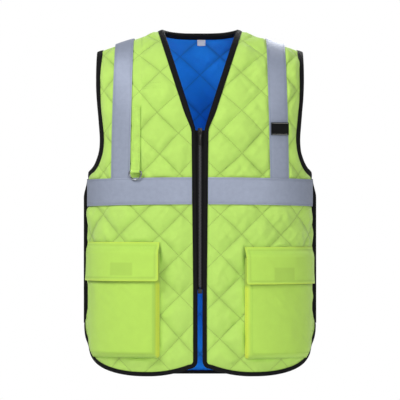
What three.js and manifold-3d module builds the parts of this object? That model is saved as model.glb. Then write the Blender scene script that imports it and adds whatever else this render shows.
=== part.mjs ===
// Quilted cooling vest, worn form. Millimetres, +Z up, the wearer faces -Y and the wearer's left is +X.
// The origin lies midway between the shoulder seams, at the height of their neck ends.

import * as THREE from 'three';
import { mergeVertices } from 'three/addons/utils/BufferGeometryUtils.js';
import Module from 'manifold-3d';

const wasm = await Module();
wasm.setup();

// Body form that the lining lies on
const halfWidth = 205;          // centre line to side seam
const frontDepth = 122;         // side seam plane to the chest
const backDepth = 106;          // side seam plane to the back
const sectionPower = 2.4;       // 2 is an ellipse, more is squarer
const capHeight = 185;          // shoulder ridge down to the straight part, at the centre line
const shoulderSlope = 0.358;    // fall of the shoulder seam for each millimetre outwards
const ridgeRounding = 40;       // length over which the ridge line turns at the centre
const neckHalfWidth = 68.5;       // centre line to the neck edge at the shoulder seam
const neckBackDepth = 46;       // seam line to the back of the neck hole

// Outline of the panels
const shoulderHalfWidth = 190.5;
const underarmHeight = -266;
const vNeckBottom = -180;
const vNeckHalfGap = 10.5;
const zipGapTop = 9;          // centre line to the front edge where the zip starts
const zipGapBottom = 6.1;       // centre line to the front edge where the zip ends
const zipEnd = -481;
const frontHem = -640;
const backHem = -644;
const frontHemLift = 22;        // how much higher the hem is at the zip than at its lowest point
const frontHemLow = 96;         // centre line to the lowest point of the front hem
const hemCornerRadius = 13;
const ventHeight = 95;          // open side slit above the hem
const ventSweep = 160;          // length of the rounded outer corner along the hem
const seamGap = 0.5;            // half of the gap between panels that meet at a seam
const ventClearance = 2.1;      // extra room at the slit for the two bound edges
const outlineStep = 34;         // between outline points on the hems
const curveStep = 19.6;         // between outline points on the neck and armhole edges

// Armhole edge, from the shoulder tip to the side seam.
// across is a share of shoulderHalfWidth, down a share of the height from the tip to the underarm.
const armholeRows = [
  { across: 1.0, down: 0.0 },
  { across: 0.998, down: 0.26 },
  { across: 0.972, down: 0.56 },
  { across: 0.96, down: 0.74 },
  { across: 0.982, down: 0.86 },
  { across: 1.036, down: 0.955 },
];

// Layers, measured outwards from the wearer's side of the lining
const liningThickness = 1.0;
const layerGap = 0.3;
const shellStitched = 2.2;      // shell thickness along the quilting lines
const shellPuff = 4.4;          // how much a quilted square stands up in its middle
const liningPuff = 2.4;
const quiltHalfDiagonal = 38;   // squares of about 54 mm a side, turned 45 degrees
const flatMargin = 20;          // strip beside each edge where the quilting is flat
const puffRise = 25;            // length over which the quilting reaches its full height
const overlayGap = 0.9;         // clearance under what is sewn on top of the quilting

// Binding
const bindingWall = 1.0;
const bindingSeat = 0.6;        // clearance between the binding and the edge in it
const bindingOutside = 1.0;     // clearance over the shell
const bindingInside = 1.8;      // clearance under the lining
const bindingFlare = 1.0;
const neckBindingWidth = 9.5;
const armholeBindingWidth = 6.8;
const frontBindingWidth = 5.4;
const hemBindingWidth = 5.2;
const sideFinHeight = 5.6;
const sideFinBase = 9;
const sideFinTip = 3.6;
const sideFinShoulder = 2;      // height at which the fin has narrowed to its tip

// Reflective tape
const tapeThickness = 0.8;
const crossTapeWidth = 50;
const frontTapeTop = -273;
const frontTapeFall = 5;        // how much lower the front tape is at the side seam
const backTapeTop = -311;
const shoulderTapeWidth = 38;
const shoulderTapeAtSeam = 139;   // centre line to the middle of the tape at the shoulder seam
const shoulderTapeAtChest = 145;
const shoulderTapeAtBack = 132;

// Zip
const zipTopDrop = 6;           // bottom of the neck edge down to the top of the zip
const zipTapeThickness = 1.2;
const zipTapeLevel = 1.5;
const teethWidth = 4.2;
const teethThickness = 2.2;
const boxLength = 14;           // stop at the lower end of the chain
const sliderRise = 4;           // how far the slider stands above the top of the chain
const sliderWidth = 8;
const sliderLength = 12;
const sliderPlate = 1.3;
const bridgeWidth = 1.8;
const bridgeLength = 7.4;
const bridgeHeight = 3.4;
const bridgeBar = 1.3;
const pullLength = 26;
const pullWidth = 6;
const pullThickness = 1.0;
const eyeWidth = 3.0;
const eyeLength = 5.0;
const gripFoot = 4;             // end of the pull up to its grip slot
const gripLength = 8;
const zipClearance = 0.4;

// Pockets on the lower fronts, one row each
const pocketWall = 1.2;
const gussetRun = 8;            // how far the sloping gusset reaches sideways
const flapThickness = 1.6;
const pockets = [
  { name: 'right', side: -1, inner: 74, outer: 241, flapTop: -393, flapDrop: 72, bottom: -607, depth: 17 },
  { name: 'left', side: 1, inner: 82, outer: 241, flapTop: -402, flapDrop: 69, bottom: -609, depth: 17 },
];
const pocketOuterDepth = 2;     // what is left of the bellows beside the side seam
const mouthBelowFlapTop = 20;
const pocketInset = 9;          // from the panel's rounded edge to the pocket

// Fittings
const micTab = { height: -183, width: 36, length: 23.5, thickness: 2.5 };
const strapWidth = 15.5;
const strapThickness = 1.2;
const strapAcross = 116;
const strapTop = -142;
const foldTurn = -Math.PI * 1.3;   // how far the end of the strap is folded round the ring's bar
const ringBarHeight = -262;
const ringWire = 1.5;           // radius
const ringHalfWidth = 11.5;     // to the middle of the wire
const ringLeg = 4;
const ringClearance = 0.5;
const label = { across: 2.5, width: 15.5, length: 14, thickness: 0.6 };

const clamp01 = (value) => Math.min(1, Math.max(0, value));

// Chest section: a superellipse x = halfWidth sin^k t, y = depth cos^k t, with k = 2 / sectionPower.
const sectionSteps = 360;
const faces = {
  front: { depth: frontDepth, sign: -1 },
  back: { depth: backDepth, sign: 1 },
};
faces.front.other = faces.back;
faces.back.other = faces.front;

function sectionPoint(face, t) {
  const k = 2 / sectionPower;
  const x = halfWidth * Math.sin(t) ** k;
  const y = face.depth * Math.max(0, Math.cos(t)) ** k;
  return [x, y];
}

// Arc length along the section from the centre line, for equal steps of t.
for (const face of Object.values(faces)) {
  face.arcs = [0];
  let last = sectionPoint(face, 0);
  for (let i = 1; i <= sectionSteps; i += 1) {
    const next = sectionPoint(face, (i / sectionSteps) * Math.PI / 2);
    face.arcs.push(face.arcs[i - 1] + Math.hypot(next[0] - last[0], next[1] - last[1]));
    last = next;
  }
  face.side = face.arcs[sectionSteps];
}

function arcAt(face, x) {
  const t = Math.asin(clamp01(Math.abs(x) / halfWidth) ** (sectionPower / 2));
  const place = (t / (Math.PI / 2)) * sectionSteps;
  const i = Math.min(sectionSteps - 1, Math.floor(place));
  return Math.sign(x) * (face.arcs[i] + (place - i) * (face.arcs[i + 1] - face.arcs[i]));
}

function angleAt(face, arc) {
  let low = 0;
  let high = sectionSteps;
  while (high - low > 1) {
    const middle = (low + high) >> 1;
    if (face.arcs[middle] > arc) {
      high = middle;
    } else {
      low = middle;
    }
  }
  const share = (arc - face.arcs[low]) / (face.arcs[high] - face.arcs[low]);
  return ((low + share) / sectionSteps) * Math.PI / 2;
}

function ridgeHeight(x) {
  return shoulderSlope * (Math.hypot(neckHalfWidth, ridgeRounding) - Math.hypot(x, ridgeRounding));
}

// Depth of the chest section above x, as a share of its depth at the centre line.
function depthShare(x) {
  return (1 - clamp01(Math.abs(x) / halfWidth) ** sectionPower) ** (1 / sectionPower);
}

// The shoulder turns over tightly at its tip and widely beside the neck.
function capAt(x) {
  return Math.max(1, capHeight * depthShare(x));
}

function chestLine(x) {
  return ridgeHeight(x) - capAt(x);
}

// Length of a quarter-ellipse meridian from the chest line up to the angle phi (Simpson's rule).
function meridianLength(depth, cap, phi) {
  const speed = (angle) => Math.hypot(depth * Math.sin(angle), cap * Math.cos(angle));
  const parts = 16;
  let sum = speed(0) + speed(phi);
  for (let i = 1; i < parts; i += 1) {
    sum += speed((phi * i) / parts) * (i % 2 ? 4 : 2);
  }
  return (sum * phi) / parts / 3;
}

function depthAt(face, x) {
  return face.depth * depthShare(x);
}

function seamHeight(face, x) {
  return chestLine(x) + meridianLength(depthAt(face, x), capAt(x), Math.PI / 2);
}

// Pattern height v of the point that is seen at height z above the place x.
function patternHeight(face, x, z) {
  const above = z - chestLine(x);
  if (above <= 0) {
    return z;
  }
  const phi = Math.asin(clamp01(above / capAt(x)));
  return chestLine(x) + meridianLength(depthAt(face, x), capAt(x), phi);
}

// The body surface at pattern place (a, v): a runs round the chest, v up the cloth.
function skin(face, a, v) {
  const arc = Math.abs(a);
  if (arc > face.side) {
    return skin(face.other, Math.sign(a) * (face.other.side - (arc - face.side)), v);
  }
  const [across, depth] = sectionPoint(face, angleAt(face, arc));
  const x = Math.sign(a) * across;
  const base = chestLine(x);
  if (v <= base) {
    return new THREE.Vector3(x, face.sign * depth, v);
  }
  const cap = capAt(x);
  let phi = (v - base) / Math.max(cap, depth);
  for (let i = 0; i < 7; i += 1) {
    const speed = Math.hypot(depth * Math.sin(phi), cap * Math.cos(phi));
    phi -= (meridianLength(depth, cap, phi) - (v - base)) / Math.max(speed, 1);
  }
  return new THREE.Vector3(x, face.sign * depth * Math.cos(phi), base + cap * Math.sin(phi));
}

function skinNormal(face, a, v) {
  const step = 0.6;
  const along = skin(face, a + step, v).sub(skin(face, a - step, v));
  const up = skin(face, a, v + step).sub(skin(face, a, v - step));
  return along.cross(up).multiplyScalar(-face.sign).normalize();
}

function onBody(face, a, v, w) {
  return skin(face, a, v).addScaledVector(skinNormal(face, a, v), w);
}

// Mesh helpers
function geometryOf(points, triangles) {
  const geometry = new THREE.BufferGeometry();
  geometry.setAttribute('position', new THREE.Float32BufferAttribute(points.flat(), 3));
  geometry.setIndex(triangles.flat());
  return geometry;
}

function merged(geometry) {
  const plain = geometry.clone();
  plain.deleteAttribute('normal');
  plain.deleteAttribute('uv');
  return mergeVertices(plain, 1e-4);
}

function signedVolume(geometry) {
  const at = geometry.getAttribute('position');
  const index = geometry.index.array;
  const [p, q, r] = [new THREE.Vector3(), new THREE.Vector3(), new THREE.Vector3()];
  let sum = 0;
  for (let i = 0; i < index.length; i += 3) {
    p.fromBufferAttribute(at, index[i]);
    q.fromBufferAttribute(at, index[i + 1]);
    r.fromBufferAttribute(at, index[i + 2]);
    sum += p.dot(q.cross(r));
  }
  return sum / 6;
}

// Turns the triangles round where a mapping has mirrored the solid.
function outward(geometry) {
  if (signedVolume(geometry) < 0) {
    const index = geometry.index.array;
    for (let i = 0; i < index.length; i += 3) {
      [index[i], index[i + 1]] = [index[i + 1], index[i]];
    }
  }
  return geometry;
}

function bent(geometry, place) {
  const solid = merged(geometry);
  const at = solid.getAttribute('position');
  for (let i = 0; i < at.count; i += 1) {
    const point = place(at.getX(i), at.getY(i), at.getZ(i));
    at.setXYZ(i, point.x, point.y, point.z);
  }
  return outward(solid);
}

function mirrored(geometry) {
  return bent(geometry, (x, y, z) => new THREE.Vector3(-x, y, z));
}

function manifoldOf(geometry) {
  const solid = merged(geometry);
  const vertProperties = new Float32Array(solid.getAttribute('position').array);
  const triVerts = new Uint32Array(solid.index.array);
  return new wasm.Manifold(new wasm.Mesh({ numProp: 3, vertProperties, triVerts }));
}

function geometryFrom(manifold) {
  const mesh = manifold.getMesh();
  const geometry = new THREE.BufferGeometry();
  geometry.setAttribute('position', new THREE.BufferAttribute(mesh.vertProperties, 3));
  geometry.setIndex(new THREE.BufferAttribute(mesh.triVerts, 1));
  return geometry;
}

// A closed slab from two grids of points with the same rows and columns.
function slabOf(outer, inner) {
  const rows = outer.length;
  const columns = outer[0].length;
  const points = [...outer.flat(), ...inner.flat()].map((point) => point.toArray());
  const triangles = [];
  const top = (r, c) => r * columns + c;
  const low = (r, c) => rows * columns + r * columns + c;
  for (let r = 0; r < rows - 1; r += 1) {
    for (let c = 0; c < columns - 1; c += 1) {
      triangles.push([top(r, c), top(r, c + 1), top(r + 1, c + 1)], [top(r, c), top(r + 1, c + 1), top(r + 1, c)]);
      triangles.push([low(r, c), low(r + 1, c + 1), low(r, c + 1)], [low(r, c), low(r + 1, c), low(r + 1, c + 1)]);
    }
  }
  const rim = [];
  for (let c = 0; c < columns - 1; c += 1) rim.push([0, c]);
  for (let r = 0; r < rows - 1; r += 1) rim.push([r, columns - 1]);
  for (let c = columns - 1; c > 0; c -= 1) rim.push([rows - 1, c]);
  for (let r = rows - 1; r > 0; r -= 1) rim.push([r, 0]);
  rim.forEach(([r, c], i) => {
    const [nr, nc] = rim[(i + 1) % rim.length];
    triangles.push([top(r, c), low(r, c), low(nr, nc)], [top(r, c), low(nr, nc), top(nr, nc)]);
  });
  return outward(geometryOf(points, triangles));
}

// A section carried through rings of points, open with two caps or closed on itself.
function sweepOf(rings, closed) {
  const sides = rings[0].length;
  const points = rings.flat().map((point) => point.toArray());
  const triangles = [];
  const spans = closed ? rings.length : rings.length - 1;
  for (let r = 0; r < spans; r += 1) {
    const next = (r + 1) % rings.length;
    for (let s = 0; s < sides; s += 1) {
      const t = (s + 1) % sides;
      triangles.push([r * sides + s, r * sides + t, next * sides + t]);
      triangles.push([r * sides + s, next * sides + t, next * sides + s]);
    }
  }
  return { points, triangles };
}

function cappedSweep(rings, capTriangles) {
  const { points, triangles } = sweepOf(rings, false);
  const sides = rings[0].length;
  const last = (rings.length - 1) * sides;
  for (const [i, j, k] of capTriangles) {
    triangles.push([i, k, j], [last + i, last + j, last + k]);
  }
  return outward(geometryOf(points, triangles));
}

function closedSweep(rings) {
  const { points, triangles } = sweepOf(rings, true);
  return outward(geometryOf(points, triangles));
}

// Outlines in pattern places [a, v]

const chainTop = vNeckBottom - zipTopDrop;

function spaced(curve, step) {
  const count = Math.max(1, Math.round(curve.getLength() / step));
  return curve.getSpacedPoints(count).map((point) => [point.x, point.y]);
}

// Front neck edge: straight in the front view, from the shoulder seam to the top of the zip.
function vNeckEdge() {
  const seam = ridgeHeight(neckHalfWidth);
  const parts = 40;
  const edge = [];
  for (let i = 0; i <= parts; i += 1) {
    const share = (i / parts) ** 2;
    const x = THREE.MathUtils.lerp(neckHalfWidth, vNeckHalfGap, share);
    const z = THREE.MathUtils.lerp(seam, vNeckBottom, share);
    const v = i === 0 ? seamHeight(faces.front, x) - seamGap : patternHeight(faces.front, x, z);
    edge.push(new THREE.Vector2(arcAt(faces.front, x), v));
  }
  return spaced(new THREE.SplineCurve(edge), curveStep);
}

// Front edge beside the zip, the inner hem corner, the hem and the rounded outer corner up the slit.
function frontLowerEdge() {
  const side = faces.front.side;
  const hemAt = (a) => frontHem + frontHemLift * clamp01(1 - a / frontHemLow) ** 2;
  const cornerTop = hemAt(zipGapBottom + hemCornerRadius) + hemCornerRadius;
  const edge = [[zipGapTop, chainTop], [zipGapBottom, zipEnd], [zipGapBottom, cornerTop]];
  for (const share of [1 / 3, 2 / 3, 1]) {
    const turn = (share * Math.PI) / 2;
    const a = zipGapBottom + hemCornerRadius * (1 - Math.cos(turn));
    edge.push([a, cornerTop - hemCornerRadius * Math.sin(turn)]);
  }
  const corner = hemCorner(side, frontHem);
  const last = corner[0][0] - outlineStep / 2;
  for (let a = zipGapBottom + hemCornerRadius + outlineStep; a < last; a += outlineStep) {
    edge.push([a, hemAt(a)]);
  }
  return [...edge, ...corner];
}

// Quarter ellipse from the hem up to the top of the side slit.
function hemCorner(side, hem) {
  const parts = 11;
  const corner = [];
  for (let i = 0; i <= parts; i += 1) {
    const turn = ((i / parts) * Math.PI) / 2;
    const a = side - ventClearance - seamGap - ventSweep * (1 - Math.sin(turn));
    corner.push([a, hem + ventHeight * (1 - Math.cos(turn))]);
  }
  return corner;
}

// Armhole edge from the side seam up to the shoulder tip.
function armholeEdge(face) {
  const tip = ridgeHeight(shoulderHalfWidth);
  const rows = armholeRows.map(({ across, down }) => {
    const x = across * shoulderHalfWidth;
    const z = tip + down * (underarmHeight - tip);
    const v = down === 0 ? seamHeight(face, x) - seamGap : patternHeight(face, x, z);
    return new THREE.Vector2(arcAt(face, x), v);
  });
  rows.push(new THREE.Vector2(face.side - seamGap, underarmHeight));
  return spaced(new THREE.SplineCurve(rows.reverse()), curveStep);
}

// Shoulder seam between the tip and the neck, without its two ends.
function shoulderEdge(face) {
  const parts = 6;
  const edge = [];
  for (let i = 1; i < parts; i += 1) {
    const x = THREE.MathUtils.lerp(shoulderHalfWidth, neckHalfWidth, i / parts);
    edge.push([arcAt(face, x), seamHeight(face, x) - seamGap]);
  }
  return edge;
}

// Back neck edge: half of an ellipse seen from above, from the seam to the centre line.
function backNeckEdge() {
  const parts = 7;
  const face = faces.back;
  const edge = [];
  for (let i = 0; i <= parts; i += 1) {
    const turn = ((i / parts) * Math.PI) / 2;
    const x = neckHalfWidth * Math.cos(turn);
    const phi = Math.acos((neckBackDepth * Math.sin(turn)) / depthAt(face, x));
    const v = chestLine(x) + meridianLength(depthAt(face, x), capAt(x), phi);
    edge.push([arcAt(face, x), i === 0 ? seamHeight(face, x) - seamGap : v]);
  }
  return edge;
}

function backHemEdge() {
  const corner = hemCorner(faces.back.side, backHem);
  const edge = [];
  for (let a = outlineStep; a < corner[0][0] - outlineStep / 2; a += outlineStep) {
    edge.push([a, backHem]);
  }
  return [[0, backHem], ...edge, ...corner];
}

const edges = {
  vNeck: vNeckEdge(),
  frontLower: frontLowerEdge(),
  backNeck: backNeckEdge(),
  backHem: backHemEdge(),
  frontArmhole: armholeEdge(faces.front),
  backArmhole: armholeEdge(faces.back),
};

const frontOutline = [
  ...edges.vNeck,
  ...edges.frontLower,
  [faces.front.side - seamGap, frontHem + ventHeight + ventClearance],
  ...edges.frontArmhole,
  ...shoulderEdge(faces.front),
];

const backHalf = [
  ...hemCorner(faces.back.side, backHem),
  [faces.back.side - seamGap, backHem + ventHeight + ventClearance],
  ...edges.backArmhole,
  ...shoulderEdge(faces.back),
  ...edges.backNeck.slice(0, -1),
];
const backCentreTop = edges.backNeck[edges.backNeck.length - 1];
const backOutline = [
  [0, backHem],
  ...backHalf,
  backCentreTop,
  ...backHalf.map(([a, v]) => [-a, v]).reverse(),
];

function distanceToOutline(outline, a, v) {
  let best = Infinity;
  outline.forEach(([a0, v0], i) => {
    const [a1, v1] = outline[(i + 1) % outline.length];
    const length2 = (a1 - a0) ** 2 + (v1 - v0) ** 2;
    const share = clamp01(((a - a0) * (a1 - a0) + (v - v0) * (v1 - v0)) / length2);
    best = Math.min(best, Math.hypot(a - a0 - share * (a1 - a0), v - v0 - share * (v1 - v0)));
  });
  return best;
}

// Quilted panels

// A slab on the grid of the quilting: places with i + j even are the stitched crossings, the others
// the raised middles, and each cell is split along the stitching line that runs through it.
function quiltSlab([a0, a1], [v0, v1]) {
  const cell = quiltHalfDiagonal;
  const [i0, i1] = [Math.floor(a0 / cell) - 1, Math.ceil(a1 / cell) + 1];
  const [j0, j1] = [Math.floor(v0 / cell) - 1, Math.ceil(v1 / cell) + 1];
  const columns = i1 - i0 + 1;
  const rows = j1 - j0 + 1;
  const points = [];
  for (const level of [1, -1]) {
    for (let j = j0; j <= j1; j += 1) {
      for (let i = i0; i <= i1; i += 1) {
        points.push([i * cell, j * cell, level * (isMiddle(i, j) ? 2 : 1)]);
      }
    }
  }
  const triangles = [];
  const place = (i, j) => (j - j0) * columns + (i - i0);
  const under = columns * rows;
  for (let j = j0; j < j1; j += 1) {
    for (let i = i0; i < i1; i += 1) {
      const [p, q, r, s] = [place(i, j), place(i + 1, j), place(i + 1, j + 1), place(i, j + 1)];
      const pair = isMiddle(i, j) ? [[p, q, s], [q, r, s]] : [[p, q, r], [p, r, s]];
      for (const [x, y, z] of pair) {
        triangles.push([x, y, z], [under + x, under + z, under + y]);
      }
    }
  }
  const rim = [];
  for (let i = i0; i < i1; i += 1) rim.push(place(i, j0));
  for (let j = j0; j < j1; j += 1) rim.push(place(i1, j));
  for (let i = i1; i > i0; i -= 1) rim.push(place(i, j1));
  for (let j = j1; j > j0; j -= 1) rim.push(place(i0, j));
  rim.forEach((here, i) => {
    const next = rim[(i + 1) % rim.length];
    triangles.push([here, under + here, under + next], [here, under + next, next]);
  });
  return geometryOf(points, triangles);
}

function isMiddle(i, j) {
  return Math.abs(i + j) % 2 === 1;
}

function cutPattern(outline) {
  const spread = (axis) => {
    const values = outline.map((point) => point[axis]);
    return [Math.min(...values), Math.max(...values)];
  };
  const shape = new THREE.Shape(outline.map(([a, v]) => new THREE.Vector2(a, v)));
  const prism = new THREE.ExtrudeGeometry(shape, { depth: 8, bevelEnabled: false }).translate(0, 0, -4);
  const slab = manifoldOf(outward(quiltSlab(spread(0), spread(1))));
  return geometryFrom(slab.intersect(manifoldOf(prism)));
}

// Bends a cut pattern onto the body. Each side's level comes from how much the quilting stands up
// there, 0 to 1. Shell and lining turn the same side of the cut to each other, so their facets match.
function quilted(cut, outline, face, levelAbove, levelBelow) {
  return bent(cut, (a, v, w) => {
    const distance = distanceToOutline(outline, a, v);
    const rise = clamp01(Math.abs(w) - 1) * clamp01((distance - flatMargin) / puffRise);
    return onBody(face, a, v, w > 0 ? levelAbove(rise) : levelBelow(rise));
  });
}

const shellInner = liningThickness + layerGap;
const shellEdge = shellInner + shellStitched;
const shellTop = shellEdge + shellPuff;
const overlayLevel = shellTop + overlayGap;

const shell = (cut, outline, face) =>
  quilted(cut, outline, face, (rise) => shellEdge + shellPuff * rise, () => shellInner);
const lining = (cut, outline, face) =>
  quilted(cut, outline, face, (rise) => -liningPuff * rise, () => liningThickness);

// Bindings

const bindingReach = bindingSeat + bindingWall;

// U section round an edge: e runs out of the panel, w outwards from the body.
function bindingSection(width) {
  const [high, low] = [shellEdge + bindingOutside, -bindingInside];
  return [
    [-width, high + bindingFlare],
    [bindingSeat, high],
    [bindingSeat, low],
    [-width, low - bindingFlare / 2],
    [-width, low - bindingFlare / 2 - bindingWall],
    [bindingReach, low - bindingWall / 2],
    [bindingReach, high + bindingWall / 2],
    [-width, high + bindingFlare + bindingWall],
  ];
}

function sectionTriangles(section) {
  const contour = section.map(([e, w]) => new THREE.Vector2(e, w));
  return THREE.ShapeUtils.triangulateShape(contour, []);
}

// Stations are [face, a, v] along the edge with the panel on a known side: turn is 1 or -1.
function bindingAlong(stations, width, turn, closed) {
  const spots = stations.map(([face, a, v]) => skin(face, a, v));
  const section = bindingSection(width);
  const count = stations.length;
  const rings = stations.map(([face, a, v], i) => {
    const before = closed ? spots[(i + count - 1) % count] : spots[Math.max(0, i - 1)];
    const after = closed ? spots[(i + 1) % count] : spots[Math.min(count - 1, i + 1)];
    const normal = skinNormal(face, a, v);
    const along = after.clone().sub(before).normalize();
    const out = along.cross(normal).multiplyScalar(turn).normalize();
    return section.map(([e, w]) => spots[i].clone().addScaledVector(out, e).addScaledVector(normal, w));
  });
  return closed ? closedSweep(rings) : cappedSweep(rings, sectionTriangles(section));
}

const stationsOn = (face, edge, side = 1) => edge.map(([a, v]) => [face, side * a, v]);

// Moves the end of an edge back along it by a length, to leave room for the next piece.
function shortened(edge, length) {
  const [last, previous] = [edge[edge.length - 1], edge[edge.length - 2]];
  const span = Math.hypot(last[0] - previous[0], last[1] - previous[1]);
  const share = length / span;
  const end = [last[0] + (previous[0] - last[0]) * share, last[1] + (previous[1] - last[1]) * share];
  return [...edge.slice(0, -1), end];
}

function neckBinding() {
  const down = shortened(edges.vNeck, bindingWall);
  const left = stationsOn(faces.front, down).reverse();
  const backLeft = stationsOn(faces.back, edges.backNeck.slice(1));
  const backRight = stationsOn(faces.back, edges.backNeck.slice(1, -1), -1).reverse();
  const right = stationsOn(faces.front, down, -1);
  return bindingAlong([...left, ...backLeft, ...backRight, ...right], neckBindingWidth, -1, false);
}

function armholeBinding(side) {
  const front = stationsOn(faces.front, edges.frontArmhole, side);
  const back = stationsOn(faces.back, edges.backArmhole, side).reverse();
  return bindingAlong([...front, ...back.slice(1)], armholeBindingWidth, side, true);
}

function frontBinding(side) {
  const upwards = stationsOn(faces.front, edges.frontLower, side).reverse();
  return bindingAlong(upwards, frontBindingWidth, -side, false);
}

function backHemBinding() {
  const left = stationsOn(faces.back, edges.backHem.slice(1)).reverse();
  const right = stationsOn(faces.back, edges.backHem, -1);
  return bindingAlong([...left, ...right], hemBindingWidth, 1, false);
}

// Bound side seam: a fin that stands out from the seam between the armhole and the slit.
function sideBinding(side) {
  const base = halfWidth + shellEdge + layerGap;
  const shape = new THREE.Shape([
    new THREE.Vector2(base, -sideFinBase / 2),
    new THREE.Vector2(base + sideFinShoulder, -sideFinTip / 2),
    new THREE.Vector2(base + sideFinHeight, -sideFinTip / 3),
    new THREE.Vector2(base + sideFinHeight, sideFinTip / 3),
    new THREE.Vector2(base + sideFinShoulder, sideFinTip / 2),
    new THREE.Vector2(base, sideFinBase / 2),
  ]);
  const top = underarmHeight - armholeBindingWidth - 3;
  const bottom = Math.max(frontHem, backHem) + ventHeight + ventClearance;
  const fin = new THREE.ExtrudeGeometry(shape, { depth: top - bottom, steps: 2, bevelEnabled: false });
  fin.translate(0, 0, bottom);
  return side > 0 ? merged(fin) : mirrored(fin);
}

// Strips that are sewn on top

// A strip between two rows of pattern places, level(a, v) above the body.
function strip(stations, level, thickness) {
  const at = (lift) => stations.map((row) => row.map(([face, a, v]) => onBody(face, a, v, level(a, v) + lift)));
  return slabOf(at(thickness), at(0));
}

// Height of the top of the quilting, which falls towards the edge that a strip runs to.
function liftBeside(distance) {
  return shellEdge + overlayGap + shellPuff * clamp01(distance / (flatMargin + puffRise - 5));
}

function crossTape(face, from, to, top, fall, edgeDistance) {
  const columns = Math.ceil((to - from) / 24);
  const rows = [top, top - crossTapeWidth].map((height) => {
    const row = [];
    for (let i = 0; i <= columns; i += 1) {
      const a = THREE.MathUtils.lerp(from, to, i / columns);
      row.push([face, a, height - fall * (a / face.side) ** 2]);
    }
    return row;
  });
  return strip(rows, (a) => liftBeside(edgeDistance(a)), tapeThickness);
}

const finReach = sideFinBase / 2 + zipClearance;

function frontTape(side) {
  const from = zipGapTop + frontBindingWidth + zipClearance;
  const to = faces.front.side - finReach;
  const distance = (a) => Math.min(a - zipGapBottom, faces.front.side - a);
  const tape = crossTape(faces.front, from, to, frontTapeTop, frontTapeFall, distance);
  return side > 0 ? tape : mirrored(tape);
}

function backTape() {
  const to = faces.back.side - finReach;
  return crossTape(faces.back, -to, to, backTapeTop, 0, (a) => faces.back.side - Math.abs(a));
}

// Middle of the front shoulder tape, at a share of its way from the chest tape to the seam.
function shoulderTapeMiddle(share) {
  return THREE.MathUtils.lerp(shoulderTapeAtChest, shoulderTapeAtSeam, share);
}

// Tape over the shoulder, from the front cross tape to the back one.
function shoulderTape(side) {
  const parts = 12;
  const half = shoulderTapeWidth / 2;
  const rowAt = (face, v, middle) =>
    [-half, 0, half].map((offset) => [face, side * (arcAt(face, middle) + offset), v]);
  const rows = [];
  const low = frontTapeTop + zipClearance;
  for (let i = 0; i < parts; i += 1) {
    const share = i / parts;
    const middle = shoulderTapeMiddle(share);
    rows.push(rowAt(faces.front, THREE.MathUtils.lerp(low, seamHeight(faces.front, middle), share), middle));
  }
  const backLow = backTapeTop + zipClearance;
  for (let i = 0; i <= parts; i += 1) {
    const share = i / parts;
    const middle = THREE.MathUtils.lerp(shoulderTapeAtSeam, shoulderTapeAtBack, Math.min(1, share * 3));
    rows.push(rowAt(faces.back, THREE.MathUtils.lerp(seamHeight(faces.back, middle), backLow, share), middle));
  }
  return strip(rows, () => overlayLevel + layerGap / 2, tapeThickness);
}

// Bellows pockets and flaps

// Level of a pocket's sewn edge: just above the quilting, which is lower beside the panel's edges.
function sewnLevel(a, v) {
  const distance = distanceToOutline(frontOutline, a, v);
  return shellEdge + 2 * layerGap + shellPuff * clamp01(distance / (flatMargin + puffRise - 5));
}

// Outer edge of a pocket at height v: it follows the panel's rounded corner.
function pocketOuterAt(pocket, v) {
  const share = clamp01(1 - (v - frontHem) / ventHeight);
  const sweep = ventSweep * (1 - Math.sqrt(1 - share ** 2));
  return Math.min(pocket.outer, faces.front.side - seamGap - ventClearance - sweep - pocketInset);
}

function bellowsDepth(pocket, share) {
  return THREE.MathUtils.lerp(pocket.depth, pocketOuterDepth, share ** 2);
}

function pocketBag(pocket) {
  const columns = 8;
  const rows = 5;
  const top = pocket.flapTop - mouthBelowFlapTop;
  const grid = (inset) => {
    const lines = [];
    for (let r = 0; r <= rows; r += 1) {
      const line = [];
      for (let c = 0; c <= columns; c += 1) {
        const onRim = r === 0 || c === 0 || c === columns;
        const share = clamp01((c - 1) / (columns - 2));
        const climb = clamp01((r - 1) / (rows - 1));
        let v = THREE.MathUtils.lerp(pocket.bottom + gussetRun, top, climb);
        if (r === 0) v = pocket.bottom;
        const outer = pocketOuterAt(pocket, v);
        let a = THREE.MathUtils.lerp(pocket.inner + gussetRun, outer - gussetRun, share);
        if (c === 0) a = pocket.inner;
        if (c === columns) a = outer;
        const push = inset * pocketWall;
        const w = sewnLevel(a, v) + (onRim ? 0 : bellowsDepth(pocket, share) - push);
        a += push * (c <= 1 ? 1 : 0) - push * (c >= columns - 1 ? 1 : 0);
        v += push * (r <= 1 ? 1 : 0);
        line.push(onBody(faces.front, pocket.side * a, v, w));
      }
      lines.push(line);
    }
    return lines;
  };
  return slabOf(grid(0), grid(1));
}

// Flap, as rows of how far down it each lies and how far it has come out to the pocket's face.
const flapRows = [
  { down: 0, out: 0 },
  { down: 0.12, out: 0.3 },
  { down: 0.26, out: 1 },
  { down: 1, out: 1 },
];

function pocketFlap(pocket) {
  const columns = 8;
  const width = pocket.outer - pocket.inner;
  const stations = flapRows.map(({ down, out }) => {
    const row = [];
    for (let c = 0; c <= columns; c += 1) {
      const share = c / columns;
      const reach = bellowsDepth(pocket, share) + overlayGap + layerGap;
      const a = pocket.inner + share * width;
      const v = pocket.flapTop - down * pocket.flapDrop;
      row.push({ a, v, w: sewnLevel(a, v) + out * reach });
    }
    return row;
  });
  const at = (lift) => stations.map((row) => row.map(({ a, v, w }) => onBody(faces.front, pocket.side * a, v, w + lift)));
  return slabOf(at(flapThickness), at(0));
}

// Zip

function zipTape(side) {
  const rows = [[chainTop, zipGapTop], [zipEnd, zipGapBottom]].map(([v, gap]) => {
    const outer = gap - bindingReach - zipClearance;
    return [teethWidth / 2 + zipClearance, outer].map((a) => [faces.front, side * a, v]);
  });
  return strip(rows, () => zipTapeLevel, zipTapeThickness);
}

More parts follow.
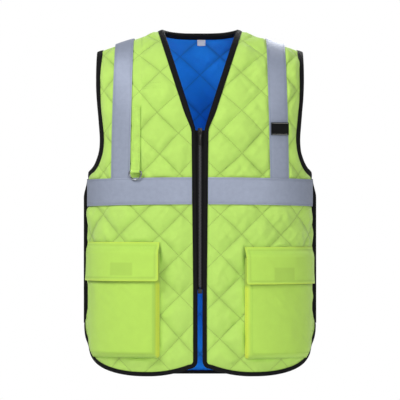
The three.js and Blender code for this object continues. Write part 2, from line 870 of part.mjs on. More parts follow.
const teethLevel = zipTapeLevel + zipTapeThickness / 2 - teethThickness / 2;

function boxFrom([x0, x1], [z0, z1], [w0, w1]) {
  const box = new THREE.BoxGeometry(x1 - x0, w1 - w0, z1 - z0);
  return box.translate((x0 + x1) / 2, -frontDepth - (w0 + w1) / 2, (z0 + z1) / 2);
}

function joined(...geometries) {
  return geometryFrom(geometries.map(manifoldOf).reduce((sum, next) => sum.add(next)));
}

function without(geometry, ...cuts) {
  return geometryFrom(cuts.map(manifoldOf).reduce((rest, cut) => rest.subtract(cut), manifoldOf(geometry)));
}

const halfTeeth = teethWidth / 2;
const teethTop = teethLevel + teethThickness;

function zipTeeth() {
  return boxFrom([-halfTeeth, halfTeeth], [zipEnd + boxLength / 2, chainTop], [teethLevel, teethTop]);
}

function zipBox() {
  const wide = zipGapBottom - bindingReach - zipClearance;
  return boxFrom([-wide, wide], [zipEnd - boxLength / 2, zipEnd - zipClearance], [teethLevel, teethTop]);
}

const sliderTop = chainTop + sliderRise;
const plateTop = teethTop + zipClearance + sliderPlate;
const bridgeMiddle = sliderTop - sliderLength / 2 - 0.5;
const pivotHeight = plateTop + (bridgeHeight - bridgeBar) / 2;

// Two plates round the chain, joined above it, with a bridge for the pull on the front.
function zipSlider() {
  const half = sliderWidth / 2;
  const low = teethLevel - zipClearance - sliderPlate;
  const body = boxFrom([-half, half], [sliderTop - sliderLength, sliderTop], [low, plateTop]);
  const slot = boxFrom([-half - 1, half + 1], [sliderTop - sliderLength - 1, chainTop + zipClearance],
    [teethLevel - zipClearance, teethTop + zipClearance]);
  const bridge = boxFrom([-bridgeWidth / 2, bridgeWidth / 2],
    [bridgeMiddle - bridgeLength / 2, bridgeMiddle + bridgeLength / 2], [plateTop - 0.5, plateTop + bridgeHeight]);
  const window = boxFrom([-bridgeWidth, bridgeWidth],
    [bridgeMiddle - bridgeLength / 2 + bridgeBar, bridgeMiddle + bridgeLength / 2 - bridgeBar],
    [plateTop, plateTop + bridgeHeight - bridgeBar]);
  return joined(without(body, slot), without(bridge, window));
}

// Pull tab: a plate with an eye whose bar lies under the bridge.
function zipPull() {
  const half = pullWidth / 2;
  const bar = pullThickness / 2;
  const top = bridgeMiddle + bar;
  const levels = [pivotHeight - bar, pivotHeight + bar];
  const plate = boxFrom([-half, half], [top - pullLength, top], levels);
  const eye = boxFrom([-eyeWidth / 2, eyeWidth / 2], [top - pullThickness - eyeLength, top - pullThickness],
    [levels[0] - 1, levels[1] + 1]);
  const foot = top - pullLength + gripFoot;
  const grip = boxFrom([-half / 2, half / 2], [foot, foot + gripLength], [levels[0] - 1, levels[1] + 1]);
  return without(plate, eye, grip);
}

// Fittings

// Places a flat fitting built in (across, up, out) on the body at a pattern place.
function seated(geometry, face, a, v, w) {
  const origin = onBody(face, a, v, w);
  const out = skinNormal(face, a, v);
  const across = new THREE.Vector3(0, 0, 1).cross(out).normalize();
  const up = out.clone().cross(across);
  return bent(geometry, (x, y, z) => {
    return origin.clone().addScaledVector(across, x).addScaledVector(up, y).addScaledVector(out, z);
  });
}

function microphoneTab() {
  const plate = new THREE.BoxGeometry(micTab.width, micTab.length, micTab.thickness);
  const share = (micTab.height - frontTapeTop) / (seamHeight(faces.front, shoulderTapeAtSeam) - frontTapeTop);
  const across = shoulderTapeMiddle(share);
  const a = arcAt(faces.front, across);
  const v = patternHeight(faces.front, across, micTab.height);
  const level = overlayLevel + tapeThickness + overlayGap + micTab.thickness / 2;
  return seated(plate, faces.front, a, v, level);
}

const eyeRadius = ringWire + ringClearance;
const ringLevel = overlayLevel + eyeRadius + strapThickness;

// Webbing strap as a path (up the body, out): its lower end is folded round the bar of the ring.
function ringStrap() {
  const middleReach = eyeRadius + strapThickness / 2;
  const length = patternHeight(faces.front, strapAcross, strapTop) - ringBarHeight;
  const path = [];
  const foldSteps = 9;
  for (let i = 0; i <= foldSteps; i += 1) {
    const turn = (1 - i / foldSteps) * foldTurn;
    path.push([middleReach * Math.cos(turn - Math.PI / 2), middleReach * Math.sin(turn - Math.PI / 2)]);
  }
  const parts = 8;
  for (let i = 1; i <= parts; i += 1) {
    path.push([(length * i) / parts, -middleReach]);
  }
  const middle = arcAt(faces.front, strapAcross);
  const half = strapThickness / 2;
  const rings = path.map(([up, out], i) => {
    const before = path[Math.max(0, i - 1)];
    const after = path[Math.min(path.length - 1, i + 1)];
    const run = Math.hypot(after[0] - before[0], after[1] - before[1]);
    const [sideUp, sideOut] = [-(after[1] - before[1]) / run, (after[0] - before[0]) / run];
    return [[-1, -1], [1, -1], [1, 1], [-1, 1]].map(([across, level]) => {
      const place = ringBarHeight + up + sideUp * level * half;
      const lift = ringLevel + out + sideOut * level * half;
      return onBody(faces.front, -middle + (across * strapWidth) / 2, place, lift);
    });
  });
  return cappedSweep(rings, [[0, 1, 2], [0, 2, 3]]);
}

// D ring in the plane (across, up): a straight bar, two short legs and a half circle.
function dRing() {
  const corner = 2.5;
  const path = new THREE.CurvePath();
  const at = (x, y) => new THREE.Vector2(x, y);
  const half = ringHalfWidth;
  path.add(new THREE.LineCurve(at(-half + corner, 0), at(half - corner, 0)));
  path.add(new THREE.QuadraticBezierCurve(at(half - corner, 0), at(half, 0), at(half, -corner)));
  path.add(new THREE.LineCurve(at(half, -corner), at(half, -ringLeg)));
  path.add(new THREE.EllipseCurve(0, -ringLeg, half, half, 0, -Math.PI, true));
  path.add(new THREE.LineCurve(at(-half, -ringLeg), at(-half, -corner)));
  path.add(new THREE.QuadraticBezierCurve(at(-half, -corner), at(-half, 0), at(-half + corner, 0)));
  const steps = [1, 2, 1, 10, 1, 2];
  const spots = path.curves.flatMap((curve, i) => curve.getPoints(steps[i]).slice(0, -1));
  const sides = 7;
  const rings = spots.map((spot, i) => {
    const before = spots[(i + spots.length - 1) % spots.length];
    const after = spots[(i + 1) % spots.length];
    const along = after.clone().sub(before).normalize();
    const ring = [];
    for (let s = 0; s < sides; s += 1) {
      const turn = (s / sides) * Math.PI * 2;
      const reach = ringWire * Math.cos(turn);
      ring.push(new THREE.Vector3(spot.x + along.y * reach, spot.y - along.x * reach, ringWire * Math.sin(turn)));
    }
    return ring;
  });
  return seated(closedSweep(rings), faces.front, -arcAt(faces.front, strapAcross), ringBarHeight, ringLevel);
}

// Label under the back neck binding, on the wearer's side of the lining.
function neckLabel() {
  const face = faces.back;
  const top = backCentreTop[1] - neckBindingWidth - zipClearance;
  const rows = [top, top - label.length].map((v) => {
    return [-0.5, 0.5].map((share) => [face, label.across + share * label.width, v]);
  });
  const level = -liningPuff * clamp01(label.length / puffRise) - overlayGap - label.thickness;
  return strip(rows, () => level, label.thickness);
}

// Finishes
const finish = (color, roughness, metalness = 0) => new THREE.MeshStandardMaterial({ color, roughness, metalness });
const limeCloth = finish(0xb4de62, 0.85);
const blueCloth = finish(0x1563b8, 0.85);
const blackBinding = finish(0x0c0c0e, 0.8);
const silverTape = finish(0x9aa4b8, 0.45);
const blackMetal = finish(0x1c1c1e, 0.4, 0.7);
const greyPlastic = finish(0x55565a, 0.5);
const brightMetal = finish(0xc8cacc, 0.25, 1);
const whiteCloth = finish(0xf2f2f0, 0.8);

// Assembly
const group = new THREE.Group();

function addPiece(name, geometry, material) {
  const piece = new THREE.Mesh(merged(geometry), material);
  piece.name = name;
  group.add(piece);
}

const frontCut = cutPattern(frontOutline);
const backCut = cutPattern(backOutline);
const frontShell = shell(frontCut, frontOutline, faces.front);
const frontLining = lining(frontCut, frontOutline, faces.front);

addPiece('shell_back', shell(backCut, backOutline, faces.back), limeCloth);
addPiece('lining_back', lining(backCut, backOutline, faces.back), blueCloth);
addPiece('shell_front_left', frontShell, limeCloth);
addPiece('shell_front_right', mirrored(frontShell), limeCloth);
addPiece('lining_front_left', frontLining, blueCloth);
addPiece('lining_front_right', mirrored(frontLining), blueCloth);

addPiece('binding_neck', neckBinding(), blackBinding);
addPiece('binding_hem_back', backHemBinding(), blackBinding);
addPiece('tape_back', backTape(), silverTape);
for (const [name, side] of [['right', -1], ['left', 1]]) {
  addPiece(`binding_armhole_${name}`, armholeBinding(side), blackBinding);
  addPiece(`binding_front_${name}`, frontBinding(side), blackBinding);
  addPiece(`binding_side_${name}`, sideBinding(side), blackBinding);
  addPiece(`tape_chest_${name}`, frontTape(side), silverTape);
  addPiece(`tape_shoulder_${name}`, shoulderTape(side), silverTape);
  addPiece(`zip_tape_${name}`, zipTape(side), blackBinding);
}
for (const pocket of pockets) {
  addPiece(`pocket_${pocket.name}`, pocketBag(pocket), limeCloth);
  addPiece(`flap_${pocket.name}`, pocketFlap(pocket), limeCloth);
}

addPiece('zip_teeth', zipTeeth(), greyPlastic);
addPiece('zip_box', zipBox(), greyPlastic);
addPiece('zip_slider', zipSlider(), blackMetal);
addPiece('zip_pull', zipPull(), blackMetal);
addPiece('mic_tab', microphoneTab(), blackBinding);
addPiece('ring_strap', ringStrap(), limeCloth);
addPiece('d_ring', dRing(), brightMetal);
addPiece('neck_label', neckLabel(), whiteCloth);

export default group;
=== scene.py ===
"""Looks of a quilted cooling vest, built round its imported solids.

Metres, +Z up, the wearer faces -Y and the wearer's left is +X. Cloth is laid out in pattern places:
a runs round the chest from the centre line, v runs up the cloth and w stands out from the wearer.
"""

import math

import bmesh
import bpy
import numpy as np
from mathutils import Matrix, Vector
from mathutils.geometry import delaunay_2d_cdt


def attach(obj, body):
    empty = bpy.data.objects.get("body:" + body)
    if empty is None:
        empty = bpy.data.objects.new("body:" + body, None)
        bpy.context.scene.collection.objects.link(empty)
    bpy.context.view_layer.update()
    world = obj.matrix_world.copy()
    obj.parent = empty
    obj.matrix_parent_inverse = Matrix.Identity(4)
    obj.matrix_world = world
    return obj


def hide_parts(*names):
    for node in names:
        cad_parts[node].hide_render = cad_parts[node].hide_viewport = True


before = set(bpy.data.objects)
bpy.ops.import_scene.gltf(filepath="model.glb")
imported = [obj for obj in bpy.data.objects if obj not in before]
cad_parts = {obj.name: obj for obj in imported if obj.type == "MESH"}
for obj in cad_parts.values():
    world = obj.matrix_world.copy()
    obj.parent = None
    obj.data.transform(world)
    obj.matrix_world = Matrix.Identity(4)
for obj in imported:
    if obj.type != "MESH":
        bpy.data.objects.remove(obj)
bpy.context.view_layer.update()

# Body form, as in the solids
HALF_WIDTH = 0.205
DEPTH = {"front": 0.122, "back": 0.106}
SIGN = {"front": -1.0, "back": 1.0}
OTHER = {"front": "back", "back": "front"}
SIDES = (("right", -1), ("left", 1))
SECTION_POWER = 2.4
CAP_HEIGHT = 0.185
SHOULDER_SLOPE = 0.358
RIDGE_ROUNDING = 0.040
NECK_HALF_WIDTH = 0.0685
NECK_BACK_DEPTH = 0.046

# Outline of the panels
SHOULDER_HALF_WIDTH = 0.1905
UNDERARM = -0.266
V_NECK_BOTTOM = -0.180
V_NECK_HALF_GAP = 0.0105
ZIP_GAP_TOP = 0.009
ZIP_GAP_BOTTOM = 0.0061
ZIP_TOP = -0.186
ZIP_END = -0.481
FRONT_HEM = -0.640
BACK_HEM = -0.644
HEM_LIFT = 0.022
HEM_LOW = 0.096
HEM_CORNER = 0.013
VENT_HEIGHT = 0.095
VENT_SWEEP = 0.160
VENT_CLEARANCE = 0.0021
SEAM_GAP = 0.0005
SLIT_TOP = max(FRONT_HEM, BACK_HEM) + VENT_HEIGHT
SLIT_CURL = 0.0075
CURL_FROM_SEAM = 0.024
CURL_REACH = 0.022
CURL_ABOVE_SLIT = 0.030
CURL_FALL = 0.036
ARMHOLE = [
    {"across": 1.0, "down": 0.0},
    {"across": 0.998, "down": 0.26},
    {"across": 0.972, "down": 0.56},
    {"across": 0.96, "down": 0.74},
    {"across": 0.982, "down": 0.86},
    {"across": 1.036, "down": 0.955},
]

# Layers, measured outwards from the wearer's side of the lining
LINING = 0.0010
SHELL_INNER = 0.0013
SHELL_EDGE = 0.0035
SHELL_PUFF = 0.0072
LINING_PUFF = 0.0030
SHELL_DIP = 0.0004
COVER_RISE = 0.0030
COVER_GAP = 0.0006
COVER_EASE = 0.03
PRESSED_BESIDE = 0.005
QUILT = 0.038
EDGE_MARGIN = 0.006
EDGE_RISE = 0.022

# Trim
NECK_BINDING = 0.0095
ARMHOLE_BINDING = 0.0068
ARMHOLE_BINDING_SHOWN = 0.0110
FRONT_BINDING = 0.0066
HEM_BINDING = 0.0052
FIN_OVER_SLIT = 0.0025
FIN_STRETCH = 1.7
CROSS_TAPE = 0.050
FRONT_TAPE_TOP = -0.273
FRONT_TAPE_FALL = 0.005
BACK_TAPE_TOP = -0.311
SHOULDER_TAPE = 0.038
TAPE_AT_SEAM = 0.139
TAPE_AT_CHEST = 0.145
TAPE_AT_BACK = 0.132
SHOULDER_RUN = 0.28
TAPE_STITCH = 0.0028
POCKETS = {
    "right": {"side": -1, "inner": 0.074, "top": -0.393, "drop": 0.072, "bottom": -0.607,
              "box": (0.137, -0.443)},
    "left": {"side": 1, "inner": 0.082, "top": -0.402, "drop": 0.069, "bottom": -0.609,
             "box": (0.146, -0.453)},
}
POCKET_OUTER = 0.241
POCKET_DEPTH = 0.017
POCKET_OUTER_DEPTH = 0.002
POCKET_INSET = 0.009
POCKET_GAP = 0.0004
MOUTH_BELOW = 0.020
GUSSET = 0.008
STRAP_ACROSS = 0.116
STRAP_TOP = -0.142
STRAP_WIDTH = 0.0155
RING_BAR = -0.262
THREAD_RADIUS = 0.00028
THREAD_RISE = 0.0001
HARD_CREASE = 50

# Panels, with a seed for the relief of each layer and its mesh's parts along a quilted square
PANELS = {
    "front_left": {"face": "front", "mirror": False, "shell_seed": 11, "lining_seed": 41,
                   "shell_parts": 21, "lining_parts": 13},
    "front_right": {"face": "front", "mirror": True, "shell_seed": 23, "lining_seed": 53,
                    "shell_parts": 21, "lining_parts": 13},
    "back": {"face": "back", "mirror": False, "shell_seed": 37, "lining_seed": 67,
             "shell_parts": 18, "lining_parts": 15},
}


# Body form

def arc_table(depth):
    """Angles of the superellipse section and the length of its arc from the centre line up to each."""
    angle = np.linspace(0, math.pi / 2, 361)
    power = 2 / SECTION_POWER
    x = HALF_WIDTH * np.sin(angle) ** power
    y = depth * np.clip(np.cos(angle), 0, None) ** power
    return angle, np.concatenate([[0], np.cumsum(np.hypot(np.diff(x), np.diff(y)))])


ARCS = {face: arc_table(depth) for face, depth in DEPTH.items()}
SIDE = {face: table[1][-1] for face, table in ARCS.items()}


def arc_at(face, x):
    """Arc length from the centre line to the place x."""
    angle, arc = ARCS[face]
    turn = np.arcsin(np.clip(np.abs(x) / HALF_WIDTH, 0, 1) ** (SECTION_POWER / 2))
    return np.sign(x) * np.interp(turn, angle, arc)


def depth_share(x):
    """Depth of the section at x as a share of its depth on the centre line."""
    return (1 - np.clip(np.abs(x) / HALF_WIDTH, 0, 1) ** SECTION_POWER) ** (1 / SECTION_POWER)


def cap_at(x):
    """Height over which the body closes from its upright side up to the shoulder ridge."""
    return np.maximum(0.001, CAP_HEIGHT * depth_share(x))


def ridge(x):
    """Height of the shoulder ridge, which is rounded at the centre and falls away evenly beside it."""
    return SHOULDER_SLOPE * (math.hypot(NECK_HALF_WIDTH, RIDGE_ROUNDING) - np.hypot(x, RIDGE_ROUNDING))


def chest_line(x):
    """Height up to which the body's side stands upright."""
    return ridge(x) - cap_at(x)


def meridian(depth, cap, phi):
    """Length of the quarter ellipse from the chest line up to the angle phi, by Simpson's rule."""
    parts = 16
    total = np.zeros(np.broadcast(depth, cap, phi).shape)
    for i in range(parts + 1):
        angle = phi * i / parts
        weight = 1 if i in (0, parts) else (4 if i % 2 else 2)
        total = total + weight * np.hypot(depth * np.sin(angle), cap * np.cos(angle))
    return total * phi / parts / 3


def seam_height(face, x):
    """Height v up the cloth at which it meets the shoulder seam."""
    return chest_line(x) + meridian(DEPTH[face] * depth_share(x), cap_at(x), math.pi / 2)


def pattern_height(face, x, z):
    """Height v up the cloth of what is seen at height z above the place x."""
    above = z - chest_line(x)
    phi = np.arcsin(np.clip(above / cap_at(x), 0, 1))
    raised = chest_line(x) + meridian(DEPTH[face] * depth_share(x), cap_at(x), phi)
    return np.where(above <= 0, z, raised)


def half_skin(face, arc, v):
    """The section at the arc, and above the chest line the quarter ellipse at the meridian length v."""
    angle, arcs = ARCS[face]
    turn = np.interp(arc, arcs, angle)
    power = 2 / SECTION_POWER
    x = HALF_WIDTH * np.sin(turn) ** power
    depth = DEPTH[face] * np.clip(np.cos(turn), 0, None) ** power
    cap = cap_at(x)
    base = ridge(x) - cap
    over = np.maximum(v - base, 0)
    phi = over / np.maximum(cap, depth)
    for _ in range(5):
        speed = np.maximum(np.hypot(depth * np.sin(phi), cap * np.cos(phi)), 0.001)
        phi = phi - (meridian(depth, cap, phi) - over) / speed
    y = SIGN[face] * depth * np.cos(phi)
    z = np.where(v <= base, v, base + cap * np.sin(phi))
    return np.stack([x, y, z], -1)


def slit_curl(face, a, v):
    """How far the corners beside the side slits curl out, easing in from the seam line and from above."""
    near = smooth((np.abs(a) - SIDE[face] + CURL_FROM_SEAM) / CURL_REACH)
    below = smooth((SLIT_TOP + CURL_ABOVE_SLIT - v) / CURL_FALL)
    return SLIT_CURL * near * below


def skin(face, a, v):
    """Body surface at the pattern places, running on round the other face past the side seam."""
    a, v = np.broadcast_arrays(np.asarray(a, float), np.asarray(v, float))
    arc = np.abs(a)
    over = arc > SIDE[face]
    points = half_skin(face, np.minimum(arc, SIDE[face]), v)
    if over.any():
        other = OTHER[face]
        points[over] = half_skin(other, SIDE[other] - (arc[over] - SIDE[face]), v[over])
    points[..., 0] += slit_curl(face, a, v)
    points[..., 0] *= np.where(a < 0, -1, 1)
    return points


def skin_normal(face, a, v):
    """Outward normal, from the differences of the surface over a short step each way."""
    step = 0.0006
    along = skin(face, a + step, v) - skin(face, a - step, v)
    up = skin(face, a, v + step) - skin(face, a, v - step)
    return unit(np.cross(along, up) * -SIGN[face])


def raised(face, a, v, *levels):
    """Points at each of the levels over the body surface, and last the outward normals there."""
    base, normals = skin(face, a, v), skin_normal(face, a, v)
    zero = 0 * normals[..., 0]
    return [base + normals * (zero + level)[..., None] for level in levels] + [normals]


def surface_of(faces, a, v):
    """Body points and normals where each row of places lies on the face that faces names for it."""
    points, normals = np.empty((*a.shape, 3)), np.empty((*a.shape, 3))
    for face in ("front", "back"):
        mine = np.array([f == face for f in faces])
        if mine.any():
            points[mine] = skin(face, a[mine], v[mine])
            normals[mine] = skin_normal(face, a[mine], v[mine])
    return points, normals


# Numbers that vary smoothly

def noise(x, y, seed):
    """Value noise from -1 to 1: a random number at each whole place, eased between them."""
    table = np.random.default_rng(seed).uniform(-1, 1, (256, 256))
    i, j = np.floor(x).astype(int), np.floor(y).astype(int)
    fx, fy = smooth(x - i), smooth(y - j)
    low = lerp(table[i % 256, j % 256], table[(i + 1) % 256, j % 256], fx)
    high = lerp(table[i % 256, (j + 1) % 256], table[(i + 1) % 256, (j + 1) % 256], fx)
    return lerp(low, high, fy)


def smooth(value):
    value = np.clip(value, 0, 1)
    return value * value * (3 - 2 * value)


def lerp(start, end, share):
    return start + (end - start) * share


def bell(value, middle, width):
    return np.exp(-((value - middle) / width) ** 2)


def unit(vectors):
    return vectors / np.linalg.norm(vectors, axis=-1, keepdims=True)


def run_lengths(points):
    """Length along a line of points up to each of them."""
    return np.concatenate([[0], np.cumsum(np.linalg.norm(np.diff(points, axis=0), axis=1))])


def read_along(values, lengths, at):
    """Columns of values, read at some lengths along their line."""
    return np.stack([np.interp(at, lengths, column) for column in np.transpose(values)], -1)


def tangents(points, closed):
    """Directions of a line at its points."""
    before, after = np.roll(points, 1, 0), np.roll(points, -1, 0)
    if not closed:
        before[0], after[-1] = points[0], points[-1]
    return unit(after - before)


# Outlines

def resampled(points, step):
    """The same line with evenly spaced points, its two ends kept."""
    points = np.asarray(points, float)
    lengths = run_lengths(points)
    count = max(2, int(round(lengths[-1] / step)) + 1)
    return read_along(points, lengths, np.linspace(0, lengths[-1], count))


def spline(points, parts):
    """Uniform Catmull-Rom spline through the points."""
    points = np.asarray(points, float)
    line = []
    for i in range(len(points) - 1):
        p0, p1 = points[max(i - 1, 0)], points[i]
        p2, p3 = points[i + 1], points[min(i + 2, len(points) - 1)]
        t = np.linspace(0, 1, parts, endpoint=False)[:, None]
        m1, m2 = (p2 - p0) / 2, (p3 - p1) / 2
        line.append((2 * t**3 - 3 * t**2 + 1) * p1 + (t**3 - 2 * t**2 + t) * m1
                    + (3 * t**2 - 2 * t**3) * p2 + (t**3 - t**2) * m2)
    return np.concatenate([*line, points[-1:]])


def neck_edge():
    """Straight in the front view, from the shoulder seam to the top of the zip."""
    share = np.linspace(0, 1, 120) ** 2
    x = lerp(NECK_HALF_WIDTH, V_NECK_HALF_GAP, share)
    z = lerp(ridge(NECK_HALF_WIDTH), V_NECK_BOTTOM, share)
    v = pattern_height("front", x, z)
    v[0] = seam_height("front", NECK_HALF_WIDTH) - SEAM_GAP
    return np.stack([arc_at("front", x), v], -1)


def hem_at(a):
    """Height of the front hem, which rises towards the zip with the square of the nearness to it."""
    return FRONT_HEM + HEM_LIFT * np.clip(1 - a / HEM_LOW, 0, 1) ** 2


def vent_corner(face, hem):
    """Quarter ellipse from the hem up to the top of the side slit."""
    turn = np.linspace(0, math.pi / 2, 60)
    a = SIDE[face] - VENT_CLEARANCE - SEAM_GAP - VENT_SWEEP * (1 - np.sin(turn))
    return np.stack([a, hem + VENT_HEIGHT * (1 - np.cos(turn))], -1)


def front_lower_edge():
    """Down beside the zip, round the hem's inner corner, along the hem and up the outer corner."""
    foot = float(hem_at(ZIP_GAP_BOTTOM + HEM_CORNER)) + HEM_CORNER
    beside_zip = np.array([[ZIP_GAP_TOP, ZIP_TOP], [ZIP_GAP_BOTTOM, ZIP_END], [ZIP_GAP_BOTTOM, foot]])
    turn = np.linspace(0, math.pi / 2, 12)[1:]
    across = ZIP_GAP_BOTTOM + HEM_CORNER * (1 - np.cos(turn))
    corner = np.stack([across, foot - HEM_CORNER * np.sin(turn)], -1)
    outer = vent_corner("front", FRONT_HEM)
    a = np.linspace(corner[-1, 0], outer[0, 0], 40)[1:-1]
    hem = np.stack([a, hem_at(a)], -1)
    return np.concatenate([beside_zip, corner, hem, outer])


def armhole_edge(face):
    """From the side seam up to the shoulder tip."""
    tip = float(ridge(SHOULDER_HALF_WIDTH))
    rows = []
    for row in ARMHOLE:
        x = row["across"] * SHOULDER_HALF_WIDTH
        z = tip + row["down"] * (UNDERARM - tip)
        v = seam_height(face, x) - SEAM_GAP if row["down"] == 0 else pattern_height(face, x, z)
        rows.append([float(arc_at(face, x)), float(v)])
    rows.append([SIDE[face] - SEAM_GAP, UNDERARM])
    return spline(rows[::-1], 24)


def shoulder_edge(face):
    x = np.linspace(SHOULDER_HALF_WIDTH, NECK_HALF_WIDTH, 60)
    return np.stack([arc_at(face, x), seam_height(face, x) - SEAM_GAP], -1)


def back_neck_edge():
    """Half an ellipse seen from above, from the seam to the centre line."""
    turn = np.linspace(0, math.pi / 2, 60)
    x = NECK_HALF_WIDTH * np.cos(turn)
    depth = DEPTH["back"] * depth_share(x)
    phi = np.arccos(NECK_BACK_DEPTH * np.sin(turn) / depth)
    v = chest_line(x) + meridian(depth, cap_at(x), phi)
    v[0] = seam_height("back", NECK_HALF_WIDTH) - SEAM_GAP
    return np.stack([arc_at("back", x), v], -1)


EDGES = {
    "neck": neck_edge(),
    "front_lower": front_lower_edge(),
    "front_armhole": armhole_edge("front"),
    "back_armhole": armhole_edge("back"),
    "back_neck": back_neck_edge(),
    "back_corner": vent_corner("back", BACK_HEM),
}


def chained(parts, step):
    """Lines end to end with evenly spaced points, without each one's last point. A gap is bridged."""
    chain = []
    for part, after in zip(parts, parts[1:] + [parts[-1][-1:]]):
        line = part if np.abs(part[-1] - after[0]).max() < 1e-6 else np.concatenate([part, after[:1]])
        chain.append(resampled(line, step)[:-1])
    return np.concatenate(chain)


def side_line(face, hem):
    foot = [[SIDE[face] - SEAM_GAP, hem + VENT_HEIGHT + VENT_CLEARANCE]]
    return np.concatenate([foot, EDGES[f"{face}_armhole"][:1]])


def front_outline(step):
    side = side_line("front", FRONT_HEM)
    parts = [EDGES["neck"], EDGES["front_lower"], side, EDGES["front_armhole"], shoulder_edge("front")]
    return chained(parts, step)


def back_outline(step):
    corner, neck = EDGES["back_corner"], EDGES["back_neck"]
    hem = np.array([[0, BACK_HEM], corner[0]])
    side = side_line("back", BACK_HEM)
    half = chained([hem, corner, side, EDGES["back_armhole"], shoulder_edge("back"), neck], step)
    return np.concatenate([half, neck[-1:], half[1:][::-1] * [-1, 1]])


def distance_to(outline, a, v, closed=True):
    """Shortest distance from each place to the line, found a share of the places at a time."""
    start = outline if closed else outline[:-1]
    end = np.roll(outline, -1, 0) if closed else outline[1:]
    run = end - start
    length2 = np.maximum((run**2).sum(1), 1e-18)
    places = np.stack([np.ravel(a), np.ravel(v)], -1)
    best = np.empty(len(places))
    batch = 4000
    for low in range(0, len(places), batch):
        offset = places[low:low + batch, None, :] - start[None]
        share = np.clip((offset * run).sum(2) / length2, 0, 1)
        gap = offset - share[..., None] * run
        best[low:low + batch] = np.sqrt((gap**2).sum(2).min(1))
    return best.reshape(np.shape(a))


def inside(outline, a, v):
    """Whether a ray along +a from each place crosses the outline an odd number of times."""
    odd = np.zeros(len(a), bool)
    ends = np.roll(outline, -1, 0)
    for (a0, v0), (a1, v1) in zip(outline, ends):
        if v0 == v1:
            continue
        crosses = (v0 > v) != (v1 > v)
        odd ^= crosses & (a < a0 + (v - v0) / (v1 - v0) * (a1 - a0))
    return odd


def filled(outline, spacing, turned):
    """Triangles that fill the outline over a square grid, turned 45 degrees for the quilting."""
    reach = int(np.hypot(*np.ptp(outline, axis=0)) / spacing) + int(np.abs(outline).max() / spacing) + 2
    steps = np.arange(-reach, reach + 1) * spacing
    s, r = (grid.ravel() for grid in np.meshgrid(steps, steps))
    a, v = ((s + r) / math.sqrt(2), (s - r) / math.sqrt(2)) if turned else (s, r)
    low, high = outline.min(0), outline.max(0)
    near = (a > low[0]) & (a < high[0]) & (v > low[1]) & (v < high[1])
    a, v = a[near], v[near]
    keep = inside(outline, a, v)
    a, v = a[keep], v[keep]
    keep = distance_to(outline, a, v) > spacing * 0.45
    places = np.concatenate([outline, np.stack([a[keep], v[keep]], -1)])
    loop = list(range(len(outline)))
    made = delaunay_2d_cdt([Vector(p) for p in places], [], [loop], 1, 1e-9, False)
    points = np.array([list(p) for p in made[0]])
    triangles = np.array([list(f) for f in made[2]])
    corners = points[triangles]
    longest = np.linalg.norm(corners - np.roll(corners, 1, 1), axis=2).max(1)
    triangles, corners = triangles[longest < 3 * spacing], corners[longest < 3 * spacing]
    one, two = corners[:, 1] - corners[:, 0], corners[:, 2] - corners[:, 0]
    turned_over = one[:, 0] * two[:, 1] - one[:, 1] * two[:, 0] < 0
    triangles[turned_over] = triangles[turned_over][:, ::-1]
    return points, triangles


def area_of(outline):
    """Area inside a closed outline, from the cross products of its neighbouring points."""
    nexts = np.roll(outline, -1, 0)
    return abs((outline[:, 0] * nexts[:, 1] - outline[:, 1] * nexts[:, 0]).sum()) / 2


# Meshes

def shown_name(name):
    """The piece's name, kept apart from the solid that it stands for."""
    return f"{name}_shown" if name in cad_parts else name


def linked(name, data):
    """A new object with that data, in the scene."""
    obj = bpy.data.objects.new(name, data)
    bpy.context.scene.collection.objects.link(obj)
    return obj


def shade_smooth(mesh, sharp):
    """Smooth shading, with a crease where two faces meet at more than the angle sharp in degrees."""
    mesh.polygons.foreach_set("use_smooth", np.ones(len(mesh.polygons), bool))
    mesh.set_sharp_from_angle(angle=math.radians(sharp))


def mesh_object(name, points, groups, places=None, marks=None, sharp=55):
    """A mesh from arrays of faces with equal corner counts.

    places become its UV map, and marks its attributes.
    """
    name = shown_name(name)
    mesh = bpy.data.meshes.new(name)
    mesh.vertices.add(len(points))
    mesh.vertices.foreach_set("co", np.asarray(points, np.float32).ravel())
    loops = np.concatenate([np.asarray(group).ravel() for group in groups]).astype(np.int32)
    totals = np.concatenate([np.full(len(group), np.shape(group)[1]) for group in groups]).astype(np.int32)
    mesh.loops.add(len(loops))
    mesh.loops.foreach_set("vertex_index", loops)
    mesh.polygons.add(len(totals))
    mesh.polygons.foreach_set("loop_start", (np.cumsum(totals) - totals).astype(np.int32))
    mesh.polygons.foreach_set("loop_total", totals)
    mesh.update(calc_edges=True)
    if places is not None:
        layer = mesh.uv_layers.new(name="Pattern")
        layer.data.foreach_set("uv", np.asarray(places, np.float32)[loops].ravel())
    for key, values in (marks or {}).items():
        attribute = mesh.attributes.new(key, "FLOAT", "POINT")
        attribute.data.foreach_set("value", np.asarray(values, np.float32))
    shade_smooth(mesh, sharp)
    mesh.validate()
    return linked(name, mesh)


def slab(name, outer, inner, triangles, places, marks=None):
    """A closed sheet from two layers of points with the same triangles, joined round the rim."""
    count = len(outer)
    edges = np.concatenate([triangles[:, [0, 1]], triangles[:, [1, 2]], triangles[:, [2, 0]]])
    codes = np.sort(edges, 1) @ np.array([count, 1])
    _, first, uses = np.unique(codes, return_index=True, return_counts=True)
    rim = edges[first[uses == 1]]
    walls = np.stack([rim[:, 1], rim[:, 0], rim[:, 0] + count, rim[:, 1] + count], -1)
    groups = [triangles, triangles[:, ::-1] + count, walls]
    both = {key: np.concatenate([values, values]) for key, values in (marks or {}).items()}
    obj = mesh_object(name, np.concatenate([outer, inner]), groups, np.concatenate([places, places]), both)
    return outward(obj)


def grid_triangles(rows, columns):
    at = np.arange(rows * columns).reshape(rows, columns)
    p, q, r, s = at[:-1, :-1], at[:-1, 1:], at[1:, 1:], at[1:, :-1]
    return np.concatenate([np.stack([p, q, r], -1).reshape(-1, 3), np.stack([p, r, s], -1).reshape(-1, 3)])


